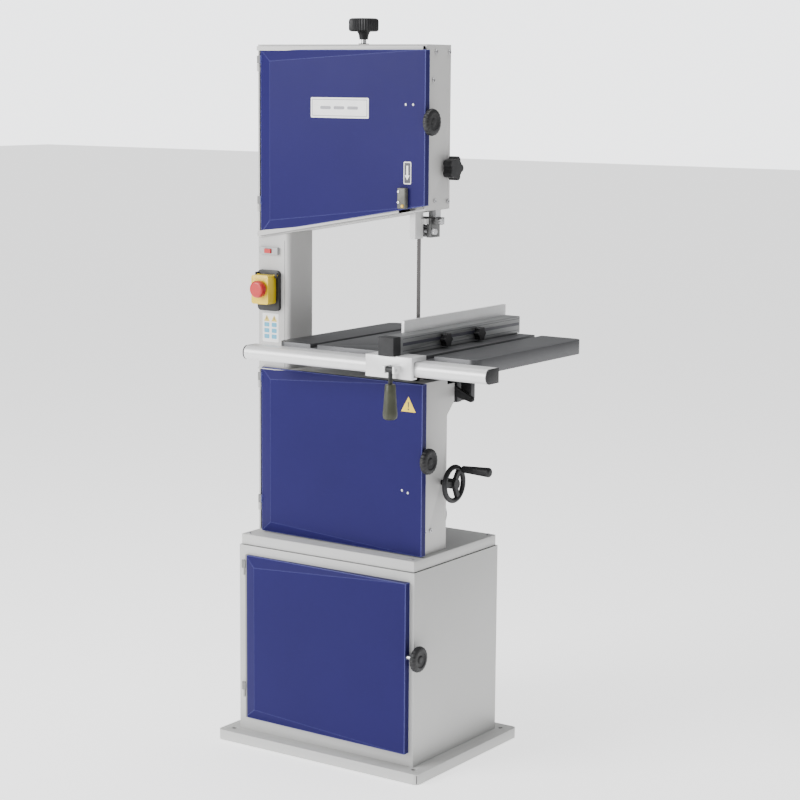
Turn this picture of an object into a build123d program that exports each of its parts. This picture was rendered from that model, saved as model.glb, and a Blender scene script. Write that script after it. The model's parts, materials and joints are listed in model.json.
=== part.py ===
"""Floor-standing band saw: welded spine, two wheel housings, tilting table and rip fence.

Millimetres, +Z up, -Y towards the operator, +X towards the blade side.
The origin is the centre of the base's underside.
"""

import os
from math import cos, radians, sin, sqrt

from build123d import *

# ---------------------------------------------------------------- driving sizes
# base and cabinet
BASE_LIP_X, BASE_LIP_Y, BASE_H = 38.5, 39.3, 25.0
BASE_HOLE_IN_X, BASE_HOLE_IN_Y, BASE_HOLE_R = 29.0, 29.3, 6.0
CABINET_W, CABINET_D, CABINET_TOP = 506.0, 358.0, 482.0
CABINET_SHEET = 2.0
CABINET_POST = 47.0
CABINET_LINTEL = 26.0
STAND_TOP_IN_X, STAND_TOP_IN_Y, STAND_TOP_H = 3.5, 4.0, 26.0
PAN_SHEET = 3.0
BASE_CORNER = 12.0

# spine and wheel housings
BODY_LEFT, BODY_RIGHT = -237.8, 235.2
BODY_FRONT, BODY_BACK = -121.5, -23.1
BODY_WALL = 4.0
LOWER_TOP = 908.0
UPPER_TOP = 1664.0
UPPER_BOTTOM_LEFT, UPPER_BOTTOM_RIGHT = 1214.0, 1298.0
COLUMN_W, COLUMN_CORNER = 91.0, 12.0
SEAT_W, SEAT_TOP, SEAT_H, SEAT_D = 4.0, 895.0, 72.0, 30.0
BLADE_ROOM, STRAND_ROOM = 14.0, 25.0
BOLT_R, BOLT_HEAD = 5.0, 3.5

# wheels and blade
WHEEL_X, BLADE_Y = 10.0, -73.0
LOWER_Z, UPPER_Z = 705.0, 1470.0
LOOP_R = 175.65
BLADE_T, BLADE_W = 0.7, 16.0
TYRE_T, RIM_T, RIM_W = 3.0, 13.0, 24.0
WEB_T, HUB_R = 8.0, 26.0
SPOKE_HOLES, SPOKE_HOLE_R, SPOKE_HOLE_AT = 6, 38.0, 98.0

# drive
MOTOR_X, MOTOR_Z, MOTOR_R, MOTOR_L = -70.0, 605.0, 72.0, 190.0
WHEEL_PULLEY_R, MOTOR_PULLEY_R = 70.0, 30.0
PULLEY_BACK, PULLEY_W = -41.0, 15.0
BELT_T, BELT_W = 4.0, 10.0
SHAFT_R, BEARING_R, BEARING_W = 7.5, 17.5, 11.0
AXLE_R, HUB_BEARING_R = 8.5, 20.0
SCREW_R = 6.0
MOTOR_PLATE_T, MOTOR_SPIGOT_R, FAN_COVER_L = 18.0, 25.0, 45.0
FIN_COUNT, FIN_H, FIN_T = 20, 6.0, 3.0
BOSS_R, BOSS_FLANGE_R, BOSS_BACK = 28.0, 45.0, -5.0
PORT_X, PORT_Z, PORT_R, PORT_WALL, PORT_L = 140.0, 572.0, 50.0, 3.0, 73.0

# belt tensioner and its handwheel
IDLER_Y, IDLER_SCREW_Z, IDLER_BLOCK, IDLER_RAIL_X = -42.0, 669.0, 28.0, 92.0
IDLER_R, IDLER_ALONG = 12.0, 0.7
HANDWHEEL_R, HANDWHEEL_RIM, GRIP_TURN, GRIP_L = 45.0, 6.0, 55.0, 75.0

# blade tension and tracking
SLIDER_W, SLIDER_FRONT, SLIDER_BACK = 60.0, -56.0, -30.0
SLIDER_LOW, SLIDER_HIGH, YOKE_TOP, YOKE_T = 1430.0, 1530.0, 1608.0, 8.0
SLIDE_RAIL_T, TENSION_TRAVEL = 10.0, 15.0
SCREW_Y, SCREW_END = -45.0, 1505.0
SPRING_R, WIRE_R, SPRING_TURNS = 12.0, 2.0, 6
TENSION_KNOB_R, KNOB_HUB_R = 34.5, 14.0
KNOB_HUB_FROM, KNOB_DISC_FROM, KNOB_DISC_T = 12.0, 30.0, 30.0
TRACKING_Z, TRACKING_DEPTH, TRACKING_KNOB_R = 1444.0, 16.0, 24.0

# blade guides
POST, POST_OUT, POST_BACK, POST_TOP = 20.0, 20.0, 1.9, 1602.0
GUIDE_LOW, GUIDE_HIGH = 1262.0, 1278.0
GUIDE_INSIDE, GUIDE_OUTSIDE, GUIDE_D = 26.0, 38.0, 26.0
LUG_W, LUG_D, DISC_T = 12.0, 22.0, 7.3
UPPER_DISC_R, UPPER_THRUST_R, UPPER_DISC_Z = 14.0, 9.0, 1247.0
LOWER_DISC_R, LOWER_THRUST_R, LOWER_DISC_Z = 7.0, 6.5, 917.0
GUARD_INSIDE, GUARD_OUTSIDE, GUARD_FRONT, GUARD_BACK = 7.0, 8.0, -100.0, -68.0
GUARD_LOW, GUARD_HIGH, GUARD_SHEET = 1231.0, 1400.0, 1.5
LOCK_Z, LOCK_R, LOCK_KNOB_R = 1390.0, 5.0, 28.0
SLEEVE_WALL, SLEEVE_LOW, SLEEVE_HIGH = 6.0, 1320.0, 1420.0

# table
TABLE_TOP, TABLE_PLATE, TABLE_APRON = 985.0, 12.0, 34.0
TABLE_LEFT, TABLE_RIGHT, TABLE_FRONT, TABLE_BACK = -124.0, 424.0, -196.0, 270.0
TABLE_CORNER, APRON_T = 22.0, 10.0
MITRE_SLOTS = (-19.0, 302.0)
MITRE_W, MITRE_H = 19.0, 9.0
INSERT_R, INSERT_T, TABLE_HOLE_R = 32.0, 4.0, 26.0
INSERT_SLOT_LEFT, INSERT_SLOT_RIGHT = 2.5, 7.0
TRUNNION_R, TRUNNION_T = 100.0, 16.0
TRUNNION_YS = (18.0, 78.0)
TRUNNION_REACH, CRADLE_REACH = 87.0, 50.0
BRACKET_LOW, BRACKET_HIGH, BRACKET_T = 848.0, 890.0, 12.0
TILT_LEVER_OUT, TILT_LEVER_Z = 38.0, 879.0
TILT_LEVER_REACH, TILT_LEVER_DROP = 54.0, 20.0
RIB_DEPTH, RIB_W, RIB_FRONT = 12.0, 12.0, 30.0

# rail and fence
RAIL_LEFT, RAIL_RIGHT = -184.0, 476.0
RAIL_D, RAIL_H, RAIL_TOP, RAIL_WALL = 50.0, 33.0, 974.0, 3.0
CAP_T, RAIL_BULGE = 4.0, 12.0
CARRIAGE_LEFT, CARRIAGE_RIGHT, CARRIAGE_T = 168.0, 292.0, 8.0
FENCE_LEFT, FENCE_FACE_T, FENCE_W = 198.0, 8.0, 40.0
FENCE_FACE_H, FENCE_H = 67.0, 41.0
FENCE_FRONT, FENCE_FACE_FRONT, FENCE_BACK = -258.0, -158.0, 276.0
STAR_KNOB_R, STAR_FRONT_Y, STAR_REAR_Y, STAR_Z = 16.0, -60.0, 82.0, 1004.0
CLAMP_X, CLAMP_Y, CLAMP_Z = 246.0, -270.0, 958.0
CLAMP_GRIP_TOP, CLAMP_GRIP_LOW = 926.0, 846.0

# switches on the column
SWITCH_LEFT, SWITCH_RIGHT, SWITCH_LOW, SWITCH_HIGH = -235.0, -171.0, 1044.0, 1140.0
SWITCH_T = 8.0
FLAP_LEFT, FLAP_RIGHT, FLAP_LOW, FLAP_HIGH = -229.0, -179.0, 1062.0, 1130.0
FLAP_D, FLAP_WALL, FLAP_PIN_R = 30.0, 2.0, 2.0
STOP_X, STOP_Z, STOP_R, START_Z, START_R = -201.0, 1098.0, 20.0, 1076.0, 8.0
PANEL_X, PANEL_Z, PANEL_W, PANEL_H, PANEL_T = -203.0, 1185.5, 54.0, 17.0, 8.0
ROCKER_W, ROCKER_H = 18.0, 10.0
ROCKER_PIN, ROCKER_PIN_R = 2.3, 1.2

# doors
DOOR_D, DOOR_SHEET, DOOR_GAP = 17.0, 2.0, 0.5
DOOR_LEFT, DOOR_RIGHT = -224.0, 244.0
BEVEL_W, BEVEL_D, BEVEL_DROP = 34.0, 10.0, 26.0
UPPER_DOOR_TOP, UPPER_DOOR_INSET = 1652.0, 10.0
CABINET_DOOR_IN_LEFT, CABINET_DOOR_IN_RIGHT = 23.0, 12.0
CABINET_DOOR_LOW, CABINET_DOOR_HIGH = 58.0, 460.0
HINGE_X, HINGE_FROM_BACK = 7.0, 5.0
KNUCKLE_R, KNUCKLE_L, PIN_R = 4.5, 18.0, 2.0
KNOB_R, KNOB_T, KNOB_GAP = 30.0, 18.0, 2.0
LATCH_R, HOOK_T, HOOK_REACH, HOOK_DROP, STRIKE_T = 5.0, 4.0, 21.0, 10.0, 4.0
UPPER_KNOB_Z, LOWER_KNOB_Z, CABINET_KNOB_Z, CABINET_KNOB_OUT = 1494.0, 733.0, 287.0, 9.0
HINGE_IN, DOOR_SILL = 50.0, 3.0
LASER_X, LASER_W, LASER_D, LASER_H = 189.0, 22.0, 12.0, 46.0

# clearances
RUN = 0.05
FIT = 0.02
GAP = 0.3
LOOSE = 0.6

# ---------------------------------------------------------------- derived places
STAND_TOP = CABINET_TOP + STAND_TOP_H
BASE_W, BASE_D = CABINET_W + 2 * BASE_LIP_X, CABINET_D + 2 * BASE_LIP_Y
BASE_HOLE_X, BASE_HOLE_Y = BASE_W - 2 * BASE_HOLE_IN_X, BASE_D - 2 * BASE_HOLE_IN_Y
STAND_TOP_W, STAND_TOP_D = CABINET_W - 2 * STAND_TOP_IN_X, CABINET_D - 2 * STAND_TOP_IN_Y
CABINET_DOOR_LEFT = CABINET_DOOR_IN_LEFT - CABINET_W / 2
CABINET_DOOR_RIGHT = CABINET_W / 2 - CABINET_DOOR_IN_RIGHT
BLADE_X = WHEEL_X + LOOP_R + BLADE_T / 2
GUIDE_LEFT, GUIDE_RIGHT = BLADE_X - GUIDE_INSIDE, BLADE_X + GUIDE_OUTSIDE
GUARD_LEFT, GUARD_RIGHT = BLADE_X - GUARD_INSIDE, BLADE_X + GUARD_OUTSIDE
POST_X = BLADE_X + POST_OUT
TILT_LEVER_X = BLADE_X + TILT_LEVER_OUT
TYRE_R = LOOP_R - GAP
RIM_R = TYRE_R - TYRE_T
INNER_BACK = BODY_BACK - BODY_WALL
POST_Y = INNER_BACK - POST_BACK - POST / 2
CABINET_FRONT = -CABINET_D / 2
CABINET_RIGHT = CABINET_W / 2
COLUMN_RIGHT = BODY_LEFT + COLUMN_W
BOTTOM_SLOPE = (UPPER_BOTTOM_RIGHT - UPPER_BOTTOM_LEFT) / (BODY_RIGHT - BODY_LEFT)
BODY_DEPTH = BODY_BACK - BODY_FRONT
TABLE_UNDER = TABLE_TOP - TABLE_PLATE
RAIL_FRONT = TABLE_FRONT - RAIL_D
RAIL_BOTTOM = RAIL_TOP - RAIL_H


def upper_bottom(x):
    """Height of the upper housing's sloping underside at x."""
    return UPPER_BOTTOM_LEFT + (x - BODY_LEFT) * BOTTOM_SLOPE


# ---------------------------------------------------------------- helpers
def block(xs, ys, zs, mode=Mode.ADD):
    """A box between two limits on each axis, joined to the part being built."""
    centre = tuple((low + high) / 2 for low, high in (xs, ys, zs))
    size = [high - low for low, high in (xs, ys, zs)]
    with Locations(centre):
        Box(*size, mode=mode)


def rod(axis, radius, span, at, mode=Mode.ADD):
    """A round bar along one axis; at gives its centre on the other two, in order."""
    middle = (span[0] + span[1]) / 2
    place, turn = {
        "x": ((middle, at[0], at[1]), (0, 90, 0)),
        "y": ((at[0], middle, at[1]), (90, 0, 0)),
        "z": ((at[0], at[1], middle), (0, 0, 0)),
    }[axis]
    with Locations(place):
        Cylinder(radius, span[1] - span[0], rotation=turn, mode=mode)


def tube(axis, outer, inner, span, at):
    """A round bar with a bore right through it."""
    rod(axis, outer, span, at)
    rod(axis, inner, span, at, mode=Mode.SUBTRACT)


def facing(y):
    """The upright plane at y, seen from the operator's side: right is +X, up is +Z."""
    return Plane.XZ.offset(-y)


def prism(points, y_low, y_high, mode=Mode.ADD):
    """An outline of (x, z) points, run forward from y_high to y_low."""
    with BuildSketch(facing(y_high)) as outline:
        with BuildLine():
            Polyline(*points, close=True)
        make_face()
    extrude(outline.sketch, amount=y_high - y_low, mode=mode)


def bar_between(start, end, radius_start, radius_end, y_low, y_high):
    """A flat arm with round ends between two (x, z) points."""
    with BuildSketch(facing(y_high)) as arm:
        with Locations(start):
            Circle(radius_start)
        with Locations(end):
            Circle(radius_end)
        make_hull()
    extrude(arm.sketch, amount=y_high - y_low)


def save(piece, name):
    """Labels a finished piece and writes it."""
    piece.part.label = name
    export_step(piece.part, f"parts/{name}.step")


# ---------------------------------------------------------------- hinges and doors
def hinge_line(door_left, door_back):
    """Where a door's hinge pins stand, beside its left edge and clear of its body."""
    return door_left - HINGE_X, door_back - HINGE_FROM_BACK


def frame_knuckle(hinge, z, wall_front):
    """The fixed knuckle of one hinge, welded to the front edge of a wall."""
    x, y = hinge
    top = z + KNUCKLE_L
    rod("z", KNUCKLE_R, (z, top), hinge)
    block((x - KNUCKLE_R, x), (y, wall_front + CABINET_SHEET), (z, top))
    rod("z", PIN_R + RUN, (z, top), hinge, mode=Mode.SUBTRACT)


def door_knuckle(hinge, z, door_left):
    """The swinging knuckle, standing on the fixed one."""
    x, y = hinge
    low = z + KNUCKLE_L + DOOR_GAP
    rod("z", KNUCKLE_R, (low, low + KNUCKLE_L), hinge)
    block((x, door_left + DOOR_SHEET), (y - KNUCKLE_R, y), (low, low + KNUCKLE_L))
    rod("z", PIN_R + RUN, (low, low + KNUCKLE_L), hinge, mode=Mode.SUBTRACT)


def trim(first, second, third, inside):
    """Cuts the part along the plane of three points, keeping the side that holds inside."""
    first, second, third, inside = (Vector(*p) for p in (first, second, third, inside))
    normal = (second - first).cross(third - first).normalized()
    if normal.dot(inside - first) > 0:
        normal = -normal
    split(bisect_by=Plane(origin=first, z_dir=normal), keep=Keep.BOTTOM)


def folded_door(piece, left, right, low_left, low_right, high, back):
    """A pressed door, open behind, whose front slopes away at its left, top and bottom.

    The top and bottom slopes are widest at the left and die out at the right.
    """
    front, rim, crease = back - DOOR_D, back - DOOR_D + BEVEL_D, left + BEVEL_W
    low_crease = low_left + (low_right - low_left) * BEVEL_W / (right - left) + BEVEL_DROP
    high_crease = high - BEVEL_DROP
    prism([(left, low_left), (right, low_right), (right, high), (left, high)], front, back)
    inside = ((left + right) / 2, back, (low_left + high) / 2)
    trim((crease, front, low_left), (crease, front, high), (left, rim, high), inside)
    trim((right, front, high), (crease, front, high_crease), (left, rim, high), inside)
    trim((right, front, low_right), (crease, front, low_crease), (left, rim, low_left), inside)
    offset(amount=-DOOR_SHEET, openings=piece.faces().sort_by(Axis.Y)[-1])


def latch_hole(right, back, z):
    """The hole in a door's right edge that the latch spindle turns in."""
    spot = (back - DOOR_D / 2, z)
    rod("x", LATCH_R + RUN, (right - 2 * DOOR_SHEET, right + 1), spot, mode=Mode.SUBTRACT)


def latch(right, back, z, knob_from):
    """A round knob on a spindle through the door's edge, with a hook inside the door.

    It is drawn unlocked: the hook points up and drops behind the strike when turned.
    """
    y = back - DOOR_D / 2
    hook = (right - 22, right - 16)
    rod("x", KNOB_R, (knob_from, knob_from + KNOB_T), (y, z))
    rod("x", LATCH_R, (hook[0], knob_from), (y, z))
    block(hook, (y - LATCH_R, y + HOOK_T), (z, z + HOOK_REACH))
    block(hook, (y, y + HOOK_DROP), (z + HOOK_REACH - HOOK_T, z + HOOK_REACH))


def strike(right, back, z, wall):
    """The small lug that a latch's hook drops behind, on the inside of the right wall."""
    y, x = back - DOOR_D / 2, right - 22
    front = y + HOOK_REACH - HOOK_T - 2 - STRIKE_T
    block((x, wall), (front, front + STRIKE_T), (z - HOOK_DROP - 2, z - HOOK_T - DOOR_GAP))


# ================================================================ base and cabinet
os.makedirs("parts", exist_ok=True)

with BuildPart() as base_plate:
    block((-BASE_W / 2, BASE_W / 2), (-BASE_D / 2, BASE_D / 2), (0, BASE_H))
    fillet(base_plate.edges().filter_by(Axis.Z), BASE_CORNER)
    block(
        (-BASE_W / 2 + PAN_SHEET, BASE_W / 2 - PAN_SHEET),
        (-BASE_D / 2 + PAN_SHEET, BASE_D / 2 - PAN_SHEET),
        (PAN_SHEET, BASE_H - PAN_SHEET),
        mode=Mode.SUBTRACT,
    )
    with Locations((0, 0, BASE_H)):
        with GridLocations(BASE_HOLE_X, BASE_HOLE_Y, 2, 2):
            Hole(BASE_HOLE_R)
save(base_plate, "base_plate")

CABINET_HINGE = hinge_line(CABINET_DOOR_LEFT, CABINET_FRONT - DOOR_GAP)
CABINET_HINGE_ZS = (CABINET_DOOR_LOW + HINGE_IN, CABINET_DOOR_HIGH - HINGE_IN)

with BuildPart() as cabinet_shell:
    block(
        (-CABINET_RIGHT, CABINET_RIGHT),
        (CABINET_FRONT, -CABINET_FRONT),
        (BASE_H, CABINET_TOP),
    )
    block(
        (-CABINET_RIGHT + CABINET_SHEET, CABINET_RIGHT - CABINET_SHEET),
        (CABINET_FRONT + CABINET_SHEET, -CABINET_FRONT - CABINET_SHEET),
        (BASE_H, CABINET_TOP),
        mode=Mode.SUBTRACT,
    )
    # the door opening, between the two posts, under the lintel and over the sill
    block(
        (-CABINET_RIGHT + CABINET_POST, CABINET_RIGHT - CABINET_POST),
        (CABINET_FRONT, CABINET_FRONT + CABINET_SHEET),
        (CABINET_DOOR_LOW + CABINET_LINTEL, CABINET_DOOR_HIGH - CABINET_LINTEL),
        mode=Mode.SUBTRACT,
    )
    # slot in the right post that the latch's hook turns into
    block(
        (CABINET_DOOR_RIGHT - 25, CABINET_DOOR_RIGHT - 13),
        (CABINET_FRONT, CABINET_FRONT + CABINET_SHEET),
        (CABINET_KNOB_Z - HOOK_T - DOOR_GAP, CABINET_KNOB_Z + HOOK_REACH + 3),
        mode=Mode.SUBTRACT,
    )
    for z in CABINET_HINGE_ZS:
        frame_knuckle(CABINET_HINGE, z, CABINET_FRONT)
save(cabinet_shell, "cabinet_shell")

with BuildPart() as stand_top:
    block(
        (-STAND_TOP_W / 2, STAND_TOP_W / 2),
        (-STAND_TOP_D / 2, STAND_TOP_D / 2),
        (CABINET_TOP, STAND_TOP),
    )
    block(
        (-STAND_TOP_W / 2 + PAN_SHEET, STAND_TOP_W / 2 - PAN_SHEET),
        (-STAND_TOP_D / 2 + PAN_SHEET, STAND_TOP_D / 2 - PAN_SHEET),
        (CABINET_TOP, STAND_TOP - PAN_SHEET),
        mode=Mode.SUBTRACT,
    )
save(stand_top, "stand_top")

with BuildPart() as cabinet_door:
    folded_door(
        cabinet_door,
        CABINET_DOOR_LEFT,
        CABINET_DOOR_RIGHT,
        CABINET_DOOR_LOW,
        CABINET_DOOR_LOW,
        CABINET_DOOR_HIGH,
        CABINET_FRONT - DOOR_GAP,
    )
    latch_hole(CABINET_DOOR_RIGHT, CABINET_FRONT - DOOR_GAP, CABINET_KNOB_Z)
    for z in CABINET_HINGE_ZS:
        door_knuckle(CABINET_HINGE, z, CABINET_DOOR_LEFT)
save(cabinet_door, "cabinet_door")

with BuildPart() as cabinet_door_knob:
    latch(
        CABINET_DOOR_RIGHT,
        CABINET_FRONT - DOOR_GAP,
        CABINET_KNOB_Z,
        CABINET_RIGHT + CABINET_KNOB_OUT,
    )
save(cabinet_door_knob, "cabinet_door_knob")

# ================================================================ spine and housings
DOOR_BACK = BODY_FRONT - DOOR_GAP
BODY_HINGE = hinge_line(DOOR_LEFT, DOOR_BACK)
UPPER_DOOR_LOW_LEFT = upper_bottom(DOOR_LEFT) + UPPER_DOOR_INSET
UPPER_DOOR_LOW_RIGHT = upper_bottom(DOOR_RIGHT) + UPPER_DOOR_INSET
UPPER_HINGE_ZS = (UPPER_DOOR_LOW_LEFT + HINGE_IN, UPPER_DOOR_TOP - HINGE_IN)
LOWER_DOOR_LOW = STAND_TOP + DOOR_SILL
LOWER_HINGE_ZS = (LOWER_DOOR_LOW + HINGE_IN, LOWER_TOP - HINGE_IN)
STRAND_HOLE = (BODY_LEFT + 2 * BODY_WALL, COLUMN_RIGHT - 2 * BODY_WALL)
STRAND_HOLE_Y = (BLADE_Y - STRAND_ROOM, BLADE_Y + STRAND_ROOM)

with BuildPart() as lower_housing:
    block((BODY_LEFT, BODY_RIGHT), (BODY_FRONT, BODY_BACK), (STAND_TOP, LOWER_TOP))
    block(
        (BODY_LEFT + BODY_WALL, BODY_RIGHT - BODY_WALL),
        (BODY_FRONT, INNER_BACK),
        (STAND_TOP + BODY_WALL, LOWER_TOP - BODY_WALL),
        mode=Mode.SUBTRACT,
    )
    top_wall = (LOWER_TOP - BODY_WALL, LOWER_TOP)
    back_wall = (INNER_BACK, BODY_BACK)
    block(STRAND_HOLE, STRAND_HOLE_Y, top_wall, mode=Mode.SUBTRACT)
    block(
        (BLADE_X - BLADE_ROOM, BLADE_X + BLADE_ROOM),
        (BLADE_Y - STRAND_ROOM, BLADE_Y + BLADE_W),
        top_wall,
        mode=Mode.SUBTRACT,
    )
    rod("y", BOSS_R + FIT, back_wall, (WHEEL_X, LOWER_Z), mode=Mode.SUBTRACT)
    rod("y", MOTOR_SPIGOT_R + GAP, back_wall, (MOTOR_X, MOTOR_Z), mode=Mode.SUBTRACT)
    rod("y", PORT_R - PORT_WALL, back_wall, (PORT_X, PORT_Z), mode=Mode.SUBTRACT)
    right_wall = (BODY_RIGHT - BODY_WALL, BODY_RIGHT)
    rod("x", SCREW_R + RUN, right_wall, (IDLER_Y, IDLER_SCREW_Z), mode=Mode.SUBTRACT)
    # two rails on the back wall that the belt tensioner slides between
    for low, high in (
        (IDLER_SCREW_Z + IDLER_BLOCK / 2 + LOOSE, IDLER_SCREW_Z + IDLER_BLOCK / 2 + 8),
        (IDLER_SCREW_Z - IDLER_BLOCK / 2 - 8, IDLER_SCREW_Z - IDLER_BLOCK / 2 - LOOSE),
    ):
        block((IDLER_RAIL_X + 14, IDLER_RAIL_X + 50), (IDLER_Y, INNER_BACK), (low, high))
    strike(DOOR_RIGHT, DOOR_BACK, LOWER_KNOB_Z, BODY_RIGHT - BODY_WALL)
    for z in LOWER_HINGE_ZS:
        frame_knuckle(BODY_HINGE, z, BODY_FRONT)
    # the seat behind the top right corner that carries the table's trunnion bracket
    with BuildSketch(Plane.YZ.offset(BODY_RIGHT - SEAT_W)):
        with BuildLine():
            Polyline(
                (BODY_BACK, SEAT_TOP - SEAT_H),
                (BODY_BACK, SEAT_TOP),
                (BODY_BACK + SEAT_D, SEAT_TOP),
                (BODY_BACK + SEAT_D, SEAT_TOP - SEAT_H + SEAT_D),
                close=True,
            )
        make_face()
    extrude(amount=SEAT_W)
save(lower_housing, "lower_housing")

with BuildPart() as upper_housing:
    roof = UPPER_TOP
    prism(
        [
            (BODY_LEFT, UPPER_BOTTOM_LEFT),
            (BODY_RIGHT, UPPER_BOTTOM_RIGHT),
            (BODY_RIGHT, roof),
            (BODY_LEFT, roof),
        ],
        BODY_FRONT,
        BODY_BACK,
    )
    inner_left, inner_right = BODY_LEFT + BODY_WALL, BODY_RIGHT - BODY_WALL
    prism(
        [
            (inner_left, upper_bottom(inner_left) + BODY_WALL),
            (inner_right, upper_bottom(inner_right) + BODY_WALL),
            (inner_right, roof - BODY_WALL),
            (inner_left, roof - BODY_WALL),
        ],
        BODY_FRONT,
        INNER_BACK,
        mode=Mode.SUBTRACT,
    )
    floor = (UPPER_BOTTOM_LEFT - 1, UPPER_BOTTOM_RIGHT + BODY_WALL + 1)
    block(STRAND_HOLE, STRAND_HOLE_Y, (floor[0], upper_bottom(COLUMN_RIGHT) + 5), mode=Mode.SUBTRACT)
    block(
        (GUARD_LEFT - 3, POST_X + POST / 2 + 3),
        (GUARD_FRONT - 3, INNER_BACK),
        floor,
        mode=Mode.SUBTRACT,
    )
    rod("z", SCREW_R + RUN, (roof - BODY_WALL, roof), (WHEEL_X, SCREW_Y), mode=Mode.SUBTRACT)
    rod(
        "x",
        LOCK_R + RUN,
        (BODY_RIGHT - BODY_WALL, BODY_RIGHT),
        (POST_Y, LOCK_Z),
        mode=Mode.SUBTRACT,
    )
    # slot for the tracking screw, which goes up and down with the wheel
    block(
        (WHEEL_X - SCREW_R - 1, WHEEL_X + SCREW_R + 1),
        (INNER_BACK, BODY_BACK),
        (TRACKING_Z - SCREW_R - 1 - TENSION_TRAVEL, TRACKING_Z + SCREW_R + 1),
        mode=Mode.SUBTRACT,
    )
    # two guide rails on the back wall, either side of the wheel's sliding bracket
    for side in (-1, 1):
        near = WHEEL_X + side * (SLIDER_W / 2 + GAP)
        far = near + side * SLIDE_RAIL_T
        block(
            (min(near, far), max(near, far)),
            (SLIDER_FRONT + 8, INNER_BACK),
            (SLIDER_LOW - TENSION_TRAVEL, SLIDER_HIGH + 60),
        )
    strike(DOOR_RIGHT, DOOR_BACK, UPPER_KNOB_Z, BODY_RIGHT - BODY_WALL)
    for z in UPPER_HINGE_ZS:
        frame_knuckle(BODY_HINGE, z, BODY_FRONT)
save(upper_housing, "upper_housing")

with BuildPart() as column:
    with BuildSketch(Plane.XY.offset(LOWER_TOP)) as column_section:
        with Locations(((BODY_LEFT + COLUMN_RIGHT) / 2, (BODY_FRONT + BODY_BACK) / 2)):
            Rectangle(COLUMN_W, BODY_DEPTH)
        fillet(column_section.vertices().group_by(Axis.X)[-1], COLUMN_CORNER)
        offset(amount=-BODY_WALL, mode=Mode.SUBTRACT)
    extrude(amount=UPPER_BOTTOM_RIGHT - LOWER_TOP)
    top_left = (BODY_LEFT - 1, upper_bottom(BODY_LEFT - 1))
    top_right = (COLUMN_RIGHT + 1, upper_bottom(COLUMN_RIGHT + 1))
    prism(
        [
            top_left,
            top_right,
            (top_right[0], UPPER_BOTTOM_RIGHT + 1),
            (top_left[0], UPPER_BOTTOM_RIGHT + 1),
        ],
        BODY_FRONT - 1,
        BODY_BACK + 1,
        mode=Mode.SUBTRACT,
    )
save(column, "column")

with BuildPart() as upper_door:
    folded_door(
        upper_door,
        DOOR_LEFT,
        DOOR_RIGHT,
        UPPER_DOOR_LOW_LEFT,
        UPPER_DOOR_LOW_RIGHT,
        UPPER_DOOR_TOP,
        DOOR_BACK,
    )
    latch_hole(DOOR_RIGHT, DOOR_BACK, UPPER_KNOB_Z)
    for z in UPPER_HINGE_ZS:
        door_knuckle(BODY_HINGE, z, DOOR_LEFT)
save(upper_door, "upper_door")

with BuildPart() as lower_door:
    folded_door(
        lower_door,
        DOOR_LEFT,
        DOOR_RIGHT,
        LOWER_DOOR_LOW,
        LOWER_DOOR_LOW,
        LOWER_TOP,
        DOOR_BACK,
    )
    latch_hole(DOOR_RIGHT, DOOR_BACK, LOWER_KNOB_Z)
    for z in LOWER_HINGE_ZS:
        door_knuckle(BODY_HINGE, z, DOOR_LEFT)
save(lower_door, "lower_door")

for knob_name, knob_z in (("upper_door_knob", UPPER_KNOB_Z), ("lower_door_knob", LOWER_KNOB_Z)):
    with BuildPart() as door_knob:
        latch(DOOR_RIGHT, DOOR_BACK, knob_z, DOOR_RIGHT + KNOB_GAP)
    save(door_knob, knob_name)

with BuildPart() as hinge_pins:
    for hinge, zs in (
        (CABINET_HINGE, CABINET_HINGE_ZS),
        (BODY_HINGE, LOWER_HINGE_ZS),
        (BODY_HINGE, UPPER_HINGE_ZS),
    ):
        for z in zs:
            rod("z", PIN_R, (z, z + 2 * KNUCKLE_L + DOOR_GAP), hinge)
save(hinge_pins, "hinge_pins")

with BuildPart() as laser_unit:
    laser_low = UPPER_DOOR_LOW_LEFT + (LASER_X - DOOR_LEFT) * BOTTOM_SLOPE + 2
    door_front = DOOR_BACK - DOOR_D
    block(
        (LASER_X - LASER_W / 2, LASER_X + LASER_W / 2),
        (door_front - LASER_D, door_front),
        (laser_low, laser_low + LASER_H),
    )
    fillet(laser_unit.edges().filter_by(Axis.Z).group_by(Axis.Y)[0], 3)
save(laser_unit, "laser_unit")

# ================================================================ wheels
def spoked_wheel(z, hub_span, bore):
    """A cast wheel: rim, web with round holes between the spokes, and a bored hub."""
    middle = (WHEEL_X, z)
    rim = (BLADE_Y - RIM_W / 2, BLADE_Y + RIM_W / 2)
    tube("y", RIM_R, RIM_R - RIM_T, rim, middle)
    rod("y", RIM_R - RIM_T + 1, (BLADE_Y - WEB_T / 2, BLADE_Y + WEB_T / 2), middle)
    for spoke in range(SPOKE_HOLES):
        turn = radians(360 / SPOKE_HOLES * (spoke + 0.5))
        hole = (WHEEL_X + SPOKE_HOLE_AT * cos(turn), z + SPOKE_HOLE_AT * sin(turn))
        rod("y", SPOKE_HOLE_R, rim, hole, mode=Mode.SUBTRACT)
    rod("y", HUB_R, hub_span, middle)
    rod("y", bore, hub_span, middle, mode=Mode.SUBTRACT)


RIM_BACK = BLADE_Y + RIM_W / 2
RIM_FRONT = BLADE_Y - RIM_W / 2

with BuildPart() as upper_wheel:
    spoked_wheel(UPPER_Z, (RIM_FRONT, RIM_BACK), HUB_BEARING_R + RUN)
save(upper_wheel, "upper_wheel")

with BuildPart() as upper_axle:
    for start in (RIM_FRONT, RIM_BACK - BEARING_W):
        tube("y", HUB_BEARING_R, AXLE_R + FIT, (start, start + BEARING_W), (WHEEL_X, UPPER_Z))
    rod("y", AXLE_R, (RIM_FRONT - 4, SLIDER_BACK), (WHEEL_X, UPPER_Z))
save(upper_axle, "upper_axle")

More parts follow.
